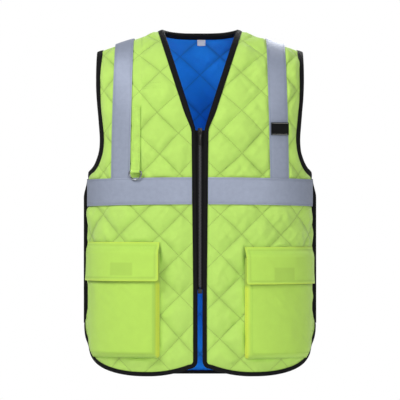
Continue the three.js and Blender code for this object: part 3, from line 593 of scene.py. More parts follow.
def grid_slab(name, outer, inner, places, marks=None):
    """A closed sheet from two grids of points."""
    triangles = grid_triangles(*outer.shape[:2])
    flat = {key: values.ravel() for key, values in (marks or {}).items()}
    return slab(name, outer.reshape(-1, 3), inner.reshape(-1, 3), triangles, places.reshape(-1, 2), flat)


def ring_quads(here, after):
    """Faces between rings of point numbers and the rings after them."""
    return np.stack([here, np.roll(here, -1, 1), np.roll(after, -1, 1), after], -1).reshape(-1, 4)


def sweep(name, rings, closed, lengths, girth):
    """A section carried through rings of points; the UV map runs along and round it in metres."""
    count, sides = rings.shape[:2]
    at = np.arange(count * sides).reshape(count, sides)
    if closed:
        groups = [ring_quads(at, np.roll(at, -1, 0))]
    else:
        groups = [ring_quads(at[:-1], at[1:]), at[:1, ::-1], at[-1:]]
    places = np.stack([np.repeat(lengths, sides), np.tile(girth, count)], -1)
    return outward(mesh_object(name, rings.reshape(-1, 3), groups, places, sharp=70))


def outward(obj):
    """Turns the faces of a closed mesh outwards."""
    work = bmesh.new()
    work.from_mesh(obj.data)
    bmesh.ops.recalc_face_normals(work, faces=work.faces)
    work.to_mesh(obj.data)
    work.free()
    return obj


def rounded_box(name, low, high, radius, segments=3):
    """A box between two corners with rounded edges."""
    low, high = np.array(low), np.array(high)
    work = bmesh.new()
    bmesh.ops.create_cube(work, size=1)
    for vertex in work.verts:
        vertex.co = Vector((low + high) / 2 + np.array(vertex.co) * (high - low))
    bmesh.ops.bevel(work, geom=work.edges[:], offset=radius, segments=segments, profile=0.5, affect="EDGES")
    mesh = bpy.data.meshes.new(name)
    work.to_mesh(mesh)
    work.free()
    shade_smooth(mesh, HARD_CREASE)
    return linked(name, mesh)


def joined(name, objects):
    """Several meshes as one object with that name."""
    with bpy.context.temp_override(active_object=objects[0], selected_editable_objects=objects,
                                   object=objects[0], selected_objects=objects):
        bpy.ops.object.join()
    objects[0].name = name
    objects[0].data.name = name
    return objects[0]


# Quilting

def quilt_share(a, v):
    """How far a square stands up: the square root of the product of the two diagonal waves."""
    one = np.abs(np.sin(math.pi * (a + v) / (2 * QUILT)))
    two = np.abs(np.sin(math.pi * (a - v) / (2 * QUILT)))
    return np.sqrt(one * two)


def line_distance(along):
    """Distance to the nearest stitch line of one direction, from a + v or a - v."""
    turns = along / (2 * QUILT)
    return np.abs(turns - np.round(turns)) * 2 * QUILT / math.sqrt(2)


def hanging(a, v, seed):
    """Pattern places of the stitch lines, drifted by smooth noise as the cloth hangs unevenly."""
    drift, size = 0.0038, 0.085
    return a + drift * noise(a / size, v / size, seed + 7), v + drift * noise(a / size, v / size, seed + 8)


def valley_shade(a, v, seed):
    """Painted shade along the stitch lines' valleys, which comes and goes with smooth noise."""
    width, size = 0.0040, 0.034
    valley = np.exp(-np.minimum(line_distance(a + v), line_distance(a - v)) / width)
    return (0.42 + 0.34 * noise(a / size, v / size, seed + 9)) * valley


def relief(a, v, seed):
    """Padded squares of uneven fullness, puckers beside each stitch line and small slack wrinkles."""
    share = quilt_share(a, v)
    square_one = np.floor((a + v) / (2 * QUILT))
    square_two = np.floor((a - v) / (2 * QUILT))
    fullness = 0.90 + 0.26 * noise(square_one * 3.7, square_two * 5.3, seed)
    pucker_size, pucker_reach, swell_size = 0.0062, 0.007, 0.07
    puckers = 0
    for along, across, key in ((a - v, a + v, 1), (a + v, a - v, 2)):
        line = np.round(across / (2 * QUILT))
        wave = noise(along / pucker_size, line * 7.7 + 0.5, seed + key)
        puckers = puckers + wave * np.exp(-line_distance(across) / pucker_reach)
    slant = noise((a + 0.6 * v) / 0.011, (v - 0.6 * a) / 0.034, seed + 3)
    slant = slant + 0.7 * noise((a - 0.8 * v) / 0.009, (v + 0.8 * a) / 0.030, seed + 4)
    swell = noise(a / swell_size, v / swell_size, seed + 5)
    return share * (fullness + 0.18 * swell) + 0.15 * puckers + 0.24 * slant * share


def shoulder_middle(share):
    return lerp(TAPE_AT_CHEST, TAPE_AT_SEAM, share)


def front_tape_top(a):
    return FRONT_TAPE_TOP - FRONT_TAPE_FALL * (a / SIDE["front"]) ** 2


def pocket_outer(v):
    """Outer edge of a pocket: it follows the panel's rounded corner."""
    share = np.clip(1 - (v - FRONT_HEM) / VENT_HEIGHT, 0, 1)
    sweep_in = VENT_SWEEP * (1 - np.sqrt(1 - share**2))
    return np.minimum(POCKET_OUTER, SIDE["front"] - SEAM_GAP - VENT_CLEARANCE - sweep_in - POCKET_INSET)


def covered(face, a, v):
    """1 where a strip or pocket is sewn over the quilting and presses it down, easing to 0 beside it."""
    across = np.abs(a)

    def band(*inside_by):
        return smooth(np.minimum.reduce(inside_by) / PRESSED_BESIDE + 1)

    if face == "back":
        beside = np.abs(across - arc_at(face, TAPE_AT_BACK))
        return np.maximum(band(BACK_TAPE_TOP - v, v - BACK_TAPE_TOP + CROSS_TAPE),
                          band(SHOULDER_TAPE / 2 - beside, v - BACK_TAPE_TOP))
    top = front_tape_top(across)
    share = np.clip((v - FRONT_TAPE_TOP) / SHOULDER_RUN, 0, 1)
    beside = np.abs(across - arc_at(face, shoulder_middle(share)))
    beside_strap = np.abs(a + arc_at(face, STRAP_ACROSS))
    masks = [
        band(top - v, v - top + CROSS_TAPE),
        band(SHOULDER_TAPE / 2 - beside, v - FRONT_TAPE_TOP),
        band(STRAP_WIDTH / 2 - beside_strap, v - RING_BAR + 0.005),
    ]
    for pocket in POCKETS.values():
        up_down = np.minimum(pocket["top"] - v, v - pocket["bottom"])
        here = band(across - pocket["inner"], pocket_outer(v) - across, up_down)
        masks.append(np.where(a * pocket["side"] > 0, here, 0))
    return np.maximum.reduce(masks)


def edge_share(distance):
    """How much of the quilting's height there is at a distance from the panel's edge."""
    return smooth((distance - EDGE_MARGIN) / EDGE_RISE) ** 0.7


def shell_level(face, a, v, distance, seed):
    """Outer level of the shell: the quilting, flat beside the edges and pressed down where covered."""
    rise = relief(*hanging(a, v, seed), seed) * SHELL_PUFF
    rise = lerp(rise, np.minimum(rise, COVER_RISE - COVER_GAP), covered(face, a, v))
    return SHELL_EDGE + np.maximum(rise, -SHELL_DIP) * edge_share(distance)


def cover_base(distance):
    """Level of the pressed quilting, falling to the flat cloth beside the panel's edges."""
    return SHELL_EDGE + COVER_RISE * np.clip(distance / COVER_EASE, 0, 1)


def cover_level(a, v, distance, seed):
    """Level of a strip sewn over the quilting, slightly wavy between its stitches."""
    wave = 0.00035 * noise(a / 0.021, v / 0.017, seed) + 0.0003 * noise(a / 0.06, v / 0.05, seed + 1)
    return cover_base(distance) + COVER_GAP + wave


OUTLINES = {"front": front_outline(0.0026), "back": back_outline(0.0028)}
COARSE = {"front": front_outline(0.012), "back": back_outline(0.012)}


def outline_distance(face, a, v):
    """Distance to the panel's outline; the front is measured on its left copy, which the right mirrors."""
    return distance_to(COARSE[face], np.abs(a) if face == "front" else a, v)


# Finishes

def srgb(code):
    """Linear colour from a hexadecimal one."""
    values = [int(code[i:i + 2], 16) / 255 for i in (0, 2, 4)]
    return [c / 12.92 if c <= 0.04045 else ((c + 0.055) / 1.055) ** 2.4 for c in values] + [1.0]


def shaded(code, factor):
    return [c * factor for c in srgb(code)[:3]] + [1.0]


class Nodes:
    """Short ways to add nodes to a material."""

    def __init__(self, name):
        self.material = bpy.data.materials.new(name)
        self.material.use_nodes = True
        self.tree = self.material.node_tree
        self.shader = self.tree.nodes["Principled BSDF"]

    def add(self, kind, **inputs):
        node = self.tree.nodes.new(kind)
        for name, value in inputs.items():
            self.feed(node.inputs[name], value)
        return node

    def link(self, start, end):
        self.tree.links.new(start, end)

    def feed(self, socket, value):
        """Links the value to the socket if it is another node's, and otherwise sets it."""
        if isinstance(value, bpy.types.NodeSocket):
            self.link(value, socket)
        else:
            socket.default_value = value

    def math(self, operation, *values):
        node = self.add("ShaderNodeMath")
        node.operation = operation
        for socket, value in zip(node.inputs, values):
            self.feed(socket, value)
        return node.outputs[0]

    def wave(self, along, pitch):
        return self.math("SINE", self.math("MULTIPLY", along, 2 * math.pi / pitch))

    def pattern(self):
        uv = self.add("ShaderNodeUVMap")
        uv.uv_map = "Pattern"
        split = self.add("ShaderNodeSeparateXYZ", Vector=uv.outputs[0])
        return uv.outputs[0], split.outputs[0], split.outputs[1]

    def noise(self, vector, scale, detail, roughness):
        inputs = {"Vector": vector, "Scale": scale, "Detail": detail, "Roughness": roughness}
        return self.add("ShaderNodeTexNoise", **inputs).outputs[0]

    def place(self):
        return self.add("ShaderNodeTexCoord").outputs["Object"]

    def attribute(self, name):
        node = self.add("ShaderNodeAttribute")
        node.attribute_name = name
        return node.outputs["Fac"]

    def mix(self, factor, first, second):
        node = self.add("ShaderNodeMix")
        node.data_type = "RGBA"
        self.link(factor, node.inputs[0])
        self.feed(node.inputs[6], first)
        self.feed(node.inputs[7], second)
        return node.outputs[2]

    def bump(self, height, distance, strength):
        node = self.add("ShaderNodeBump", Height=height, Distance=distance, Strength=strength)
        self.link(node.outputs[0], self.shader.inputs["Normal"])

    def finish(self, colour, inputs):
        """Gives the shader its base colour and its other inputs, and hands the material over."""
        self.link(colour, self.shader.inputs["Base Color"])
        for name, value in inputs.items():
            self.feed(self.shader.inputs[name], value)
        return self.material


def quilt_seam(n, u, v):
    """1 on the stitches of the two directions of quilting lines, and 0 elsewhere."""
    stitch_pitch, half_thread = 0.0048, 0.00055
    seams = []
    for operation, other in (("ADD", "SUBTRACT"), ("SUBTRACT", "ADD")):
        across = n.math("MULTIPLY", n.math(operation, u, v), 1 / (2 * QUILT))
        gap = n.math("ABSOLUTE", n.math("SUBTRACT", across, n.math("ROUND", across)))
        near = n.math("LESS_THAN", gap, half_thread / QUILT)
        dash = n.math("GREATER_THAN", n.wave(n.math(other, u, v), stitch_pitch), -0.35)
        seams.append(n.math("MULTIPLY", near, dash))
    return n.math("MAXIMUM", *seams)


def cloth(name, code, pitch=0.0009, sheen=0.25, quilted=False, variation=0.10, dark=0.62, painted_highlight=None):
    """Woven cloth: base colour with faint unevenness, a painted highlight in a given lighter colour where
    the mesh marks it, painted shade in valleys and folds, and dark dashes on the quilting stitches, which
    are real stitches darkened by painted shade.
    """
    n = Nodes(name)
    vector, u, v = n.pattern()
    patches = n.noise(vector, 55.0, 3.0, 0.6)
    colour = n.mix(patches, shaded(code, 1 - variation), shaded(code, 1 + variation / 2))
    # painted highlight: a lighter, yellower colour where the mesh marks it
    if painted_highlight:
        colour = n.mix(n.attribute("painted_highlight"), colour, srgb(painted_highlight))
    # painted shade where the mesh's shade mark is set: in valleys, folds and stitched dips
    colour = n.mix(n.attribute("shade"), colour, shaded(code, dark))
    weave = n.math("MULTIPLY", n.wave(u, pitch), n.wave(v, pitch))
    creases = n.noise(vector, 240.0, 4.0, 0.65)
    height = n.math("MULTIPLY_ADD", creases, 1.6, n.math("MULTIPLY", weave, 0.5))
    if quilted:
        seam = quilt_seam(n, u, v)
        # the stitch dashes are real; their strong darkness is painted shade of the stitch valleys
        colour = n.mix(n.math("MULTIPLY", seam, 0.55), colour, shaded(code, 0.42))
        height = n.math("MULTIPLY_ADD", seam, 1.2, height)
    n.bump(height, 0.00022, 0.8)
    return n.finish(colour, {"Roughness": 0.85, "Sheen Weight": sheen, "Sheen Roughness": 0.45,
                             "Specular IOR Level": 0.25})


def ribbed(name, code, pitch, rough=0.75, strength=0.9):
    """Binding and webbing: close ribs across the run and fainter ribs along it."""
    n = Nodes(name)
    vector, u, v = n.pattern()
    height = n.math("MULTIPLY_ADD", n.wave(v, pitch * 1.7), 0.35, n.wave(u, pitch))
    patches = n.noise(vector, 70.0, 3.0, 0.6)
    n.bump(height, 0.0002, strength)
    return n.finish(n.mix(patches, shaded(code, 0.75), shaded(code, 1.3)),
                    {"Roughness": rough, "Specular IOR Level": 0.2})


def reflective(name, code):
    """Reflective tape: satin grey face with a fine twill line, faint wear and painted shade along its stitch
    rows.
    """
    n = Nodes(name)
    vector, u, v = n.pattern()
    twill = n.wave(n.math("ADD", u, v), 0.0011)
    wear = n.noise(vector, 120.0, 4.0, 0.6)
    colour = n.mix(wear, shaded(code, 0.88), shaded(code, 1.1))
    # painted shade along the stitch rows, where the mesh's shade mark is set
    colour = n.mix(n.attribute("shade"), colour, shaded(code, 0.6))
    n.bump(n.math("MULTIPLY_ADD", twill, 0.5, wear), 0.00014, 0.6)
    return n.finish(colour, {"Metallic": 0.25, "Roughness": 0.5})


def plain(name, code, rough, metallic=0.0, coat=0.0, variation=0.18):
    """Moulded, painted, spun or bare metal finish whose colour, gloss and height vary with fine noise."""
    n = Nodes(name)
    fine = n.noise(n.place(), 600.0, 3.0, 0.6)
    n.bump(fine, 0.00006, 0.5)
    return n.finish(n.mix(fine, shaded(code, 1 - variation), shaded(code, 1 + variation)),
                    {"Roughness": n.math("MULTIPLY_ADD", fine, 0.2, rough - 0.1), "Metallic": metallic,
                     "Coat Weight": coat})


LIME = "BDE56C"
MATERIALS = {
    "shell_cloth": cloth("shell_cloth", LIME, quilted=True),
    # the lighter yellow DCEA46 is a painted highlight, along the fold beside each pocket's inner edge and
    # along the flaps' edges
    "pocket_cloth": cloth("pocket_cloth", "BAE35F", variation=0.07, dark=0.62, painted_highlight="DCEA46"),
    "strap_cloth": ribbed("strap_cloth", LIME, 0.0012, rough=0.85),
    "lining_cloth": cloth("lining_cloth", "1C96FF", quilted=True, dark=0.5),
    "binding_cloth": ribbed("binding_cloth", "0B0B0C", 0.0011),
    "reflective_tape": reflective("reflective_tape", "98A0B4"),
    "zip_cloth": ribbed("zip_cloth", "0B0B0D", 0.0009),
    "zip_plastic": plain("zip_plastic", "3E3E43", 0.38),
    "zip_metal": plain("zip_metal", "1C1A1A", 0.42, 0.4, 0.1),
    "tab_cloth": ribbed("tab_cloth", "09090A", 0.0008, strength=1.0),
    "ring_metal": plain("ring_metal", "96989D", 0.24, 1.0),
    "label_cloth": cloth("label_cloth", "FCFCFA", pitch=0.0006, sheen=0.1, variation=0.02),
}
THREAD = {
    "lime": plain("thread_lime", "9CC653", 0.7),
    "grey": plain("thread_grey", "8F98AC", 0.7),
    "black": plain("thread_black", "1B1B1D", 0.7),
    "white": plain("thread_white", "E6E6E2", 0.7),
}


def dress(obj, material_slot, *nodes, body="vest", material=None):
    """Gives a piece its finish and the body that it rides on, and hides the solids that it stands for."""
    obj.data.materials.clear()
    obj.data.materials.append(material or MATERIALS[material_slot])
    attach(obj, body)
    if nodes:
        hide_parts(*nodes)
    return obj


def as_sheet(obj, width, length, held, rests_on, area=None):
    return obj


# Stitches

def stitches(name, runs, thread, material_slot, pitch=0.0032, length=0.0023):
    """Rows of short threads that dip into the cloth at both ends: each run is (points, normals)."""
    turn = np.linspace(0, 2 * math.pi, 5, endpoint=False)
    profile = np.array([[-0.5, 0.25, -0.9], [-0.3, 0.95, 0.1], [0.3, 0.95, 0.1], [0.5, 0.25, -0.9]])
    ahead, thick, lift = profile.T[..., None]
    along_by = ahead * length
    out_by = (lift + np.sin(turn) * thick) * THREAD_RADIUS
    across_by = np.cos(turn) * thick * THREAD_RADIUS
    threads = []
    for points, normals in runs:
        at = run_lengths(points)
        spots = np.arange(pitch / 2, at[-1], pitch)
        if len(spots) == 0:
            continue
        near = 0.0005
        along = unit(read_along(points, at, spots + near) - read_along(points, at, spots - near))
        out = unit(read_along(normals, at, spots))
        shape = read_along(points, at, spots)[:, None, None]
        for direction, by in ((along, along_by), (out, out_by), (np.cross(along, out), across_by)):
            shape = shape + direction[:, None, None] * by[..., None]
        threads.append(shape.reshape(-1, 3))
    points = np.concatenate(threads)
    at = np.arange(20).reshape(4, 5)
    starts = np.arange(0, len(points), 20)[:, None, None]
    quads = (ring_quads(at[:-1], at[1:]) + starts).reshape(-1, 4)
    caps = (np.stack([at[0, ::-1], at[-1]]) + starts).reshape(-1, 5)
    obj = mesh_object(name, points, [quads, caps])
    return dress(obj, material_slot, material=THREAD[thread])


def run_on(face, line, level, step=0.002):
    """Points and normals of a stitch row on the body, from pattern places and a level for each."""
    a, v = resampled(line, step).T
    return raised(face, a, v, level(a, v))


def panel_places(face, mirror, parts):
    """Places and triangles of a panel, with so many parts to a square, and distances to its outline."""
    places, triangles = filled(OUTLINES[face], math.sqrt(2) * QUILT / parts, True)
    if mirror:
        places = places * [-1, 1]
    return places, triangles, outline_distance(face, *places.T)


# Panels

def shell_panel(name, face, mirror, seed, parts):
    """Quilted shell panel, a padded sheet between its inner side and the relief of the squares."""
    places, triangles, distance = panel_places(face, mirror, parts)
    a, v = places.T
    outer, inner, _ = raised(face, a, v, shell_level(face, a, v, distance, seed), SHELL_INNER)
    quilt = hanging(a, v, seed)
    shade = valley_shade(*quilt, seed) * edge_share(distance) * (1 - covered(face, a, v))
    obj = slab(name, outer, inner, triangles, np.stack(quilt, -1), {"shade": shade})
    dress(obj, "shell_cloth", name)
    return obj


def lining_panel(name, face, mirror, seed, parts):
    """Quilted lining under the shell, whose squares stand in towards the wearer."""
    places, triangles, distance = panel_places(face, mirror, parts)
    a, v = places.T
    rise = relief(a, v, seed) * LINING_PUFF * edge_share(distance)
    outer, inner, _ = raised(face, a, v, LINING, -np.maximum(rise, 0))
    shade = valley_shade(a, v, seed) * edge_share(distance)
    obj = slab(name, outer, inner, triangles, places, {"shade": shade})
    dress(obj, "lining_cloth", name)
    width, length = np.ptp(OUTLINES[face], axis=0)
    return as_sheet(obj, width, length, "hung", [name.replace("lining", "shell")], area_of(OUTLINES[face]))


def make_panels():
    for make, layer in ((shell_panel, "shell"), (lining_panel, "lining")):
        for name, row in PANELS.items():
            make(f"{layer}_{name}", row["face"], row["mirror"], row[f"{layer}_seed"], row[f"{layer}_parts"])


# Bindings

def binding_section(width):
    """Rounded U round a cloth edge: e runs out of the panel, w out from the body."""
    wall = 0.0010
    top, low = SHELL_EDGE + 0.0005, -0.0009
    reach = 0.0016
    round_off = 0.0002
    outer = [
        [-width, top + wall * 0.9], [-width * 0.82, top + wall * 0.62], [-width * 0.55, top + wall * 1.25],
        [-width * 0.2, top + wall * 1.2], [0.0004, top + wall * 0.8], [reach - round_off, top - round_off],
        [reach, (top + low) / 2], [reach - round_off, low + round_off], [0.0004, low - wall * 0.8],
        [-width * 0.3, low - wall], [-width * 0.8, low - wall * 0.8], [-width, low - wall],
    ]
    inner = [
        [-width, low], [-width * 0.4, low], [0.0004, low + round_off], [0.0005, top - round_off],
        [-width * 0.4, top], [-width, top + 0.0001],
    ]
    return np.array(outer + inner)


def binding(name, stations, width, turn, closed, seed, fuller=1.0, ends=1.0):
    """Carries the section along the edge. stations are (face, place) pairs in order.

    The section's height is multiplied by fuller, and its width narrows to the share ends at both ends.
    """
    faces = [face for face, _ in stations]
    points, normals = surface_of(faces, *np.array([place for _, place in stations]).T)
    out = unit(np.cross(tangents(points, closed), normals) * turn)
    section = binding_section(width)
    lengths, girth = run_lengths(points), run_lengths(section)
    from_end = np.minimum(lengths, lengths[-1] - lengths)
    pucker = 0.05 * noise(lengths / 0.006, lengths * 0 + 0.5, seed)
    pucker = pucker + 0.04 * noise(lengths / 0.03, lengths * 0 + 1.5, seed)
    if closed:
        pucker = pucker * smooth(from_end / 0.02)
    middle = SHELL_EDGE / 2
    across = section[:, 0] * lerp(ends, 1, smooth(from_end / 0.045))[:, None]
    level = middle + (section[:, 1] - middle) * fuller * (1 + pucker)[:, None]
    rings = points[:, None] + out[:, None] * across[..., None] + normals[:, None] * level[..., None]
    obj = sweep(name, rings, closed, lengths, girth)
    dress(obj, "binding_cloth", name)
    return as_sheet(obj, girth[-1] / 2, lengths[-1], "folded", ["shell_back"])


def stations_on(face, edge, side=1, step=0.0035):
    """Evenly spaced (face, place) pairs along an edge, mirrored for side -1."""
    return [(face, (side * a, v)) for a, v in resampled(edge, step)]


def make_bindings():
    below = np.array([[ZIP_GAP_TOP + 0.0004, ZIP_TOP], [ZIP_GAP_TOP + 0.0003, ZIP_TOP - 0.004]])
    neck = np.concatenate([EDGES["neck"], below])
    left = stations_on("front", neck)[::-1]
    right = stations_on("front", neck, -1)
    back_left = stations_on("back", EDGES["back_neck"])[1:]
    back_right = stations_on("back", EDGES["back_neck"], -1)[1:-1][::-1]
    stations = left[1:] + back_left + back_right + right[:-1]
    binding("binding_neck", stations, NECK_BINDING, -1, False, 3, fuller=1.1, ends=0.7)
    for name, side in SIDES:
        front = stations_on("front", EDGES["front_armhole"], side)
        back = stations_on("back", EDGES["back_armhole"], side)[::-1]
        binding(f"binding_armhole_{name}", front + back[1:], ARMHOLE_BINDING_SHOWN, side, True, 5 + side)
        lower = stations_on("front", EDGES["front_lower"], side)[::-1]
        binding(f"binding_front_{name}", lower, FRONT_BINDING, -side, False, 9 + side)
    hem = np.concatenate([[[0, BACK_HEM]], EDGES["back_corner"]])
    left = stations_on("back", hem)[::-1]
    right = stations_on("back", hem, -1)[1:]
    binding("binding_hem_back", left + right, HEM_BINDING, 1, False, 13)


def make_side_fins():
    """Bound side seams: a soft fold that stands out between the armhole and the side slit."""
    base = HALF_WIDTH + SHELL_EDGE + 0.0002
    top = UNDERARM - ARMHOLE_BINDING - 0.003
    bottom = SLIT_TOP + VENT_CLEARANCE - FIN_OVER_SLIT
    reach = 0.0057
    half = np.array([[0, 0.0044], [0.0012, 0.0030], [0.0024, 0.0021], [0.0042, 0.0018], [0.0054, 0.0010]])
    section = np.concatenate([half * [1, -1], [[reach, 0]], half[::-1]]) * [FIN_STRETCH, 1]
    out, beside = section.T
    heights = np.linspace(bottom, top, 90)
    girth = run_lengths(section)
    strip_width = (girth[-1] + np.linalg.norm(section[-1] - section[0])) / 2
    for name, side in SIDES:
        lean = 0.0007 * noise(heights / 0.03, heights * 0 + side, 71)
        lean = lean + 0.0004 * noise(heights / 0.009, heights * 0 + side, 72)
        full = lerp(0.35, 1, smooth((top - heights) / 0.035))
        x = side * (base + out * full[:, None])
        y = beside + lean[:, None] * out / reach
        rings = np.stack([x, y, heights[:, None] + 0 * x], -1)
        obj = sweep(f"binding_side_{name}", rings, False, heights - bottom, girth)
        dress(obj, "binding_cloth", f"binding_side_{name}")
        as_sheet(obj, strip_width, top - bottom, "folded", ["shell_back"])


# Reflective tapes

def tape_columns(width):
    """Places across a tape, with columns on its stitch rows and close together at its edges."""
    near = np.array([0, 0.0008, 0.0018, 0.0028, 0.0038])
    middle = np.linspace(0.007, width - 0.007, max(3, int(width / 0.0045)))
    return np.concatenate([near, middle, width - near[::-1]]) / width


def cross_tape(name, face, a, top, seed):
    """Tape round the chest along the places a, hung from the heights of its top edge."""
    drop = tape_columns(CROSS_TAPE) * CROSS_TAPE
    places = a[:, None] + 0 * drop, top[:, None] - drop
    return tape(name, [face] * len(a), *places, seed, CROSS_TAPE, abs(a[-1] - a[0]), 0.0010)


def make_tapes():
    runs = []
    short_of_seam = 0.0049
    for name, side in SIDES:
        a = side * np.linspace(ZIP_GAP_TOP + FRONT_BINDING - 0.0008, SIDE["front"] - short_of_seam, 64)
        runs += cross_tape(f"tape_chest_{name}", "front", a, front_tape_top(a), 81 + side)
    end = SIDE["back"] - short_of_seam
    a = np.linspace(-end, end, 124)
    runs += cross_tape("tape_back", "back", a, BACK_TAPE_TOP + 0 * a, 85)
    for name, side in SIDES:
        runs += shoulder_tape(name, side)
    stitches("stitches_tapes", runs, "grey", "reflective_tape")


def tape(name, faces, a, v, seed, width, length, lift):
    """Tape laid on the quilting along a grid of places; its long edges are turned down a little.

    Over a seam it keeps its level, and elsewhere it falls with the quilting beside the panel's edges.
    """
    thick, gap = 0.0007, 0.0001
    across = tape_columns(width)
    points, normals = surface_of(faces, a, v)
    over_seam = faces[0] != faces[-1]
    distance = np.ones(a.shape) if over_seam else outline_distance(faces[0], a, v)
    level = cover_level(a, v, distance, seed) + lift * np.clip(distance / 0.012, 0, 1)
    edge = np.minimum(across, 1 - across) * width
    turned = 0.0004 * np.exp(-edge / 0.0009)
    stitched = 0.00035 * bell(edge, TAPE_STITCH, 0.0008)
    outer = points + normals * (level + gap + thick - turned - stitched)[..., None]
    inner = points + normals * (level + gap)[..., None]
    along = np.linspace(0, length, len(a))[:, None] + 0 * across
    # painted shade along the two stitch rows, where the tape is pressed in
    shade = 0.35 * bell(edge, TAPE_STITCH, 0.001) + 0 * along
    obj = grid_slab(name, outer, inner, np.stack([along, across * width + 0 * along], -1), {"shade": shade})
    dress(obj, "reflective_tape", name)
    as_sheet(obj, width, length, "laid", ["shell_back" if faces[-1] == "back" else "shell_front_left"])
    return [(outer[:, k] + normals[:, k] * THREAD_RISE, normals[:, k]) for k in (3, -4)]


def shoulder_tape(name, side):
    """Tape over the shoulder, from the front cross tape to the back one."""
    parts = 52
    share = np.arange(parts) / parts
    middle = shoulder_middle(share)
    front = lerp(FRONT_TAPE_TOP - 0.006, seam_height("front", middle), share)
    share = np.arange(parts + 1) / parts
    back_middle = lerp(TAPE_AT_SEAM, TAPE_AT_BACK, np.minimum(1, share * 3))
    back = lerp(seam_height("back", back_middle), BACK_TAPE_TOP - 0.004, share)
    middles = np.concatenate([arc_at("front", middle), arc_at("back", back_middle)])
    offset = (tape_columns(SHOULDER_TAPE) - 0.5) * SHOULDER_TAPE
    a = side * (middles[:, None] + offset)
    v = np.concatenate([front, back])[:, None] + 0 * offset
    length = abs(front[-1] - front[0]) + abs(back[-1] - back[0])
    faces = ["front"] * parts + ["back"] * (parts + 1)
    return tape(f"tape_shoulder_{name}", faces, a, v, 91 + side, SHOULDER_TAPE, length, 0.0)


# Pockets

def sewn_level(a, v):
    return cover_base(outline_distance("front", a, v)) + POCKET_GAP


def bellows(share):
    """Depth of the pocket at a share of the way from its inner to its outer edge."""
    return lerp(POCKET_DEPTH, POCKET_OUTER_DEPTH, share**2)


def pocket_share(pocket, across):
    return np.clip((across - pocket["inner"]) / (POCKET_OUTER - pocket["inner"]), 0, 1)


def pocket_places(pocket):
    """Sewn edge of a pocket on its panel, on the left: down, round the inner corner and up outside."""
    rounding = 0.005
    turn = np.linspace(0, math.pi / 2, 6)
    inner, bottom, mouth = pocket["inner"], pocket["bottom"], pocket["top"] - MOUTH_BELOW
    corner = np.stack([inner + rounding * (1 - np.sin(turn)), bottom + rounding * (1 - np.cos(turn))], -1)
    heights = np.linspace(bottom, mouth, 60)
    outer = np.stack([pocket_outer(heights), heights], -1)
    return np.concatenate([[[inner, mouth]], corner[::-1], outer])


def pocket_level(pocket, a, v, sewn, seed):
    """Front of the bellows: it climbs its side wall from the sewn edges and hangs in slack folds."""
    across = np.abs(a)
    distance = distance_to(sewn, across, v, closed=False)
    climb = np.clip(distance / GUSSET, 0, 1)
    climb = climb + 0.06 * np.sin(math.pi * climb)
    depth = bellows(pocket_share(pocket, across)) - 0.0012
    slack = 0.0010 * noise(a / 0.045, v / 0.09, seed) + 0.0005 * noise(a / 0.015, v / 0.05, seed + 1)
    slack = slack + 0.0004 * noise((a + v) / 0.010, (a - v) / 0.035, seed + 2)
    return sewn_level(a, v) + depth * climb + slack * smooth(distance / 0.03) + 0.0008


def make_pocket(name, pocket, seed):
    """Bellows pocket, and its rows of stitches along the sewn edge and the side wall's fold; painted shade
    lies along that fold, a painted shadow below the flap and a painted highlight beside the inner edge.
    """
    spacing, thick, turned_in = 0.0028, 0.0011, 0.02
    inner, bottom, mouth = pocket["inner"], pocket["bottom"], pocket["top"] - MOUTH_BELOW
    sewn = pocket_places(pocket)
    outline = np.concatenate([resampled(sewn, spacing), resampled([sewn[-1], sewn[0]], spacing)[1:-1]])
    places, triangles = filled(outline, spacing, False)
    places = places * [pocket["side"], 1]
    a, v = places.T
    coarse = resampled(sewn, 0.006)
    level = pocket_level(pocket, a, v, coarse, seed)
    distance = distance_to(coarse, np.abs(a), v, closed=False)
    # painted shade along the fold where the bellows' front meets its side wall
    fold = 0.25 * np.clip(1 - np.abs(distance - GUSSET) / 0.003, 0, 1)
    # painted shadow of the flap, on the pocket under and just below the flap's lower edge
    painted_flap_shadow = 0.7 * smooth((v - pocket["top"] + pocket["drop"] + 0.008) / 0.008)
    # painted highlight on the strip beside the pocket's inner edge, where its side wall folds
    painted_highlight = 0.9 * smooth((inner + 0.8 * GUSSET - np.abs(a)) / 0.003)
    marks = {"shade": np.maximum(fold, painted_flap_shadow), "painted_highlight": painted_highlight}
    front, rear, _ = raised("front", a, v, level, level - thick)
    obj = slab(f"pocket_{name}", front, rear, triangles, places, marks)
    dress(obj, "pocket_cloth", f"pocket_{name}")
    width, length = np.ptp(outline, axis=0) + turned_in
    as_sheet(obj, width, length, "hung", [f"shell_front_{name}"], width * length * 0.95)

    def stitch_level(a, v):
        return pocket_level(pocket, a, v, coarse, seed) + THREAD_RISE

    runs = []
    row = 0.002
    for inset in (0, GUSSET):
        x, z = inner + inset + row, bottom + inset + row
        end = float(pocket_outer(bottom + inset)) - max(inset, row)
        line = np.array([[x, mouth], [x, z], [end, z]]) * [pocket["side"], 1]
        runs.append(run_on("front", line, stitch_level))
    return runs


def flap_level(pocket, a, v, seed):
    """Flap: sewn down along its top, then out over the bellows and hanging in front of it."""
    down = np.clip((pocket["top"] - v) / pocket["drop"], 0, 1)
    out = np.interp(down, [0, 0.1, 0.18, 0.28, 1], [0, 0.22, 0.72, 1, 1])
    reach = bellows(pocket_share(pocket, np.abs(a))) + 0.0012
    lip = 0.0012 * down**3 * noise(a / 0.05, v * 0, seed) + 0.0020 * down**4
    slack = 0.0005 * noise(a / 0.03, v / 0.03, seed + 1) * smooth(down * 3)
    return sewn_level(a, v) + out * reach + lip + slack


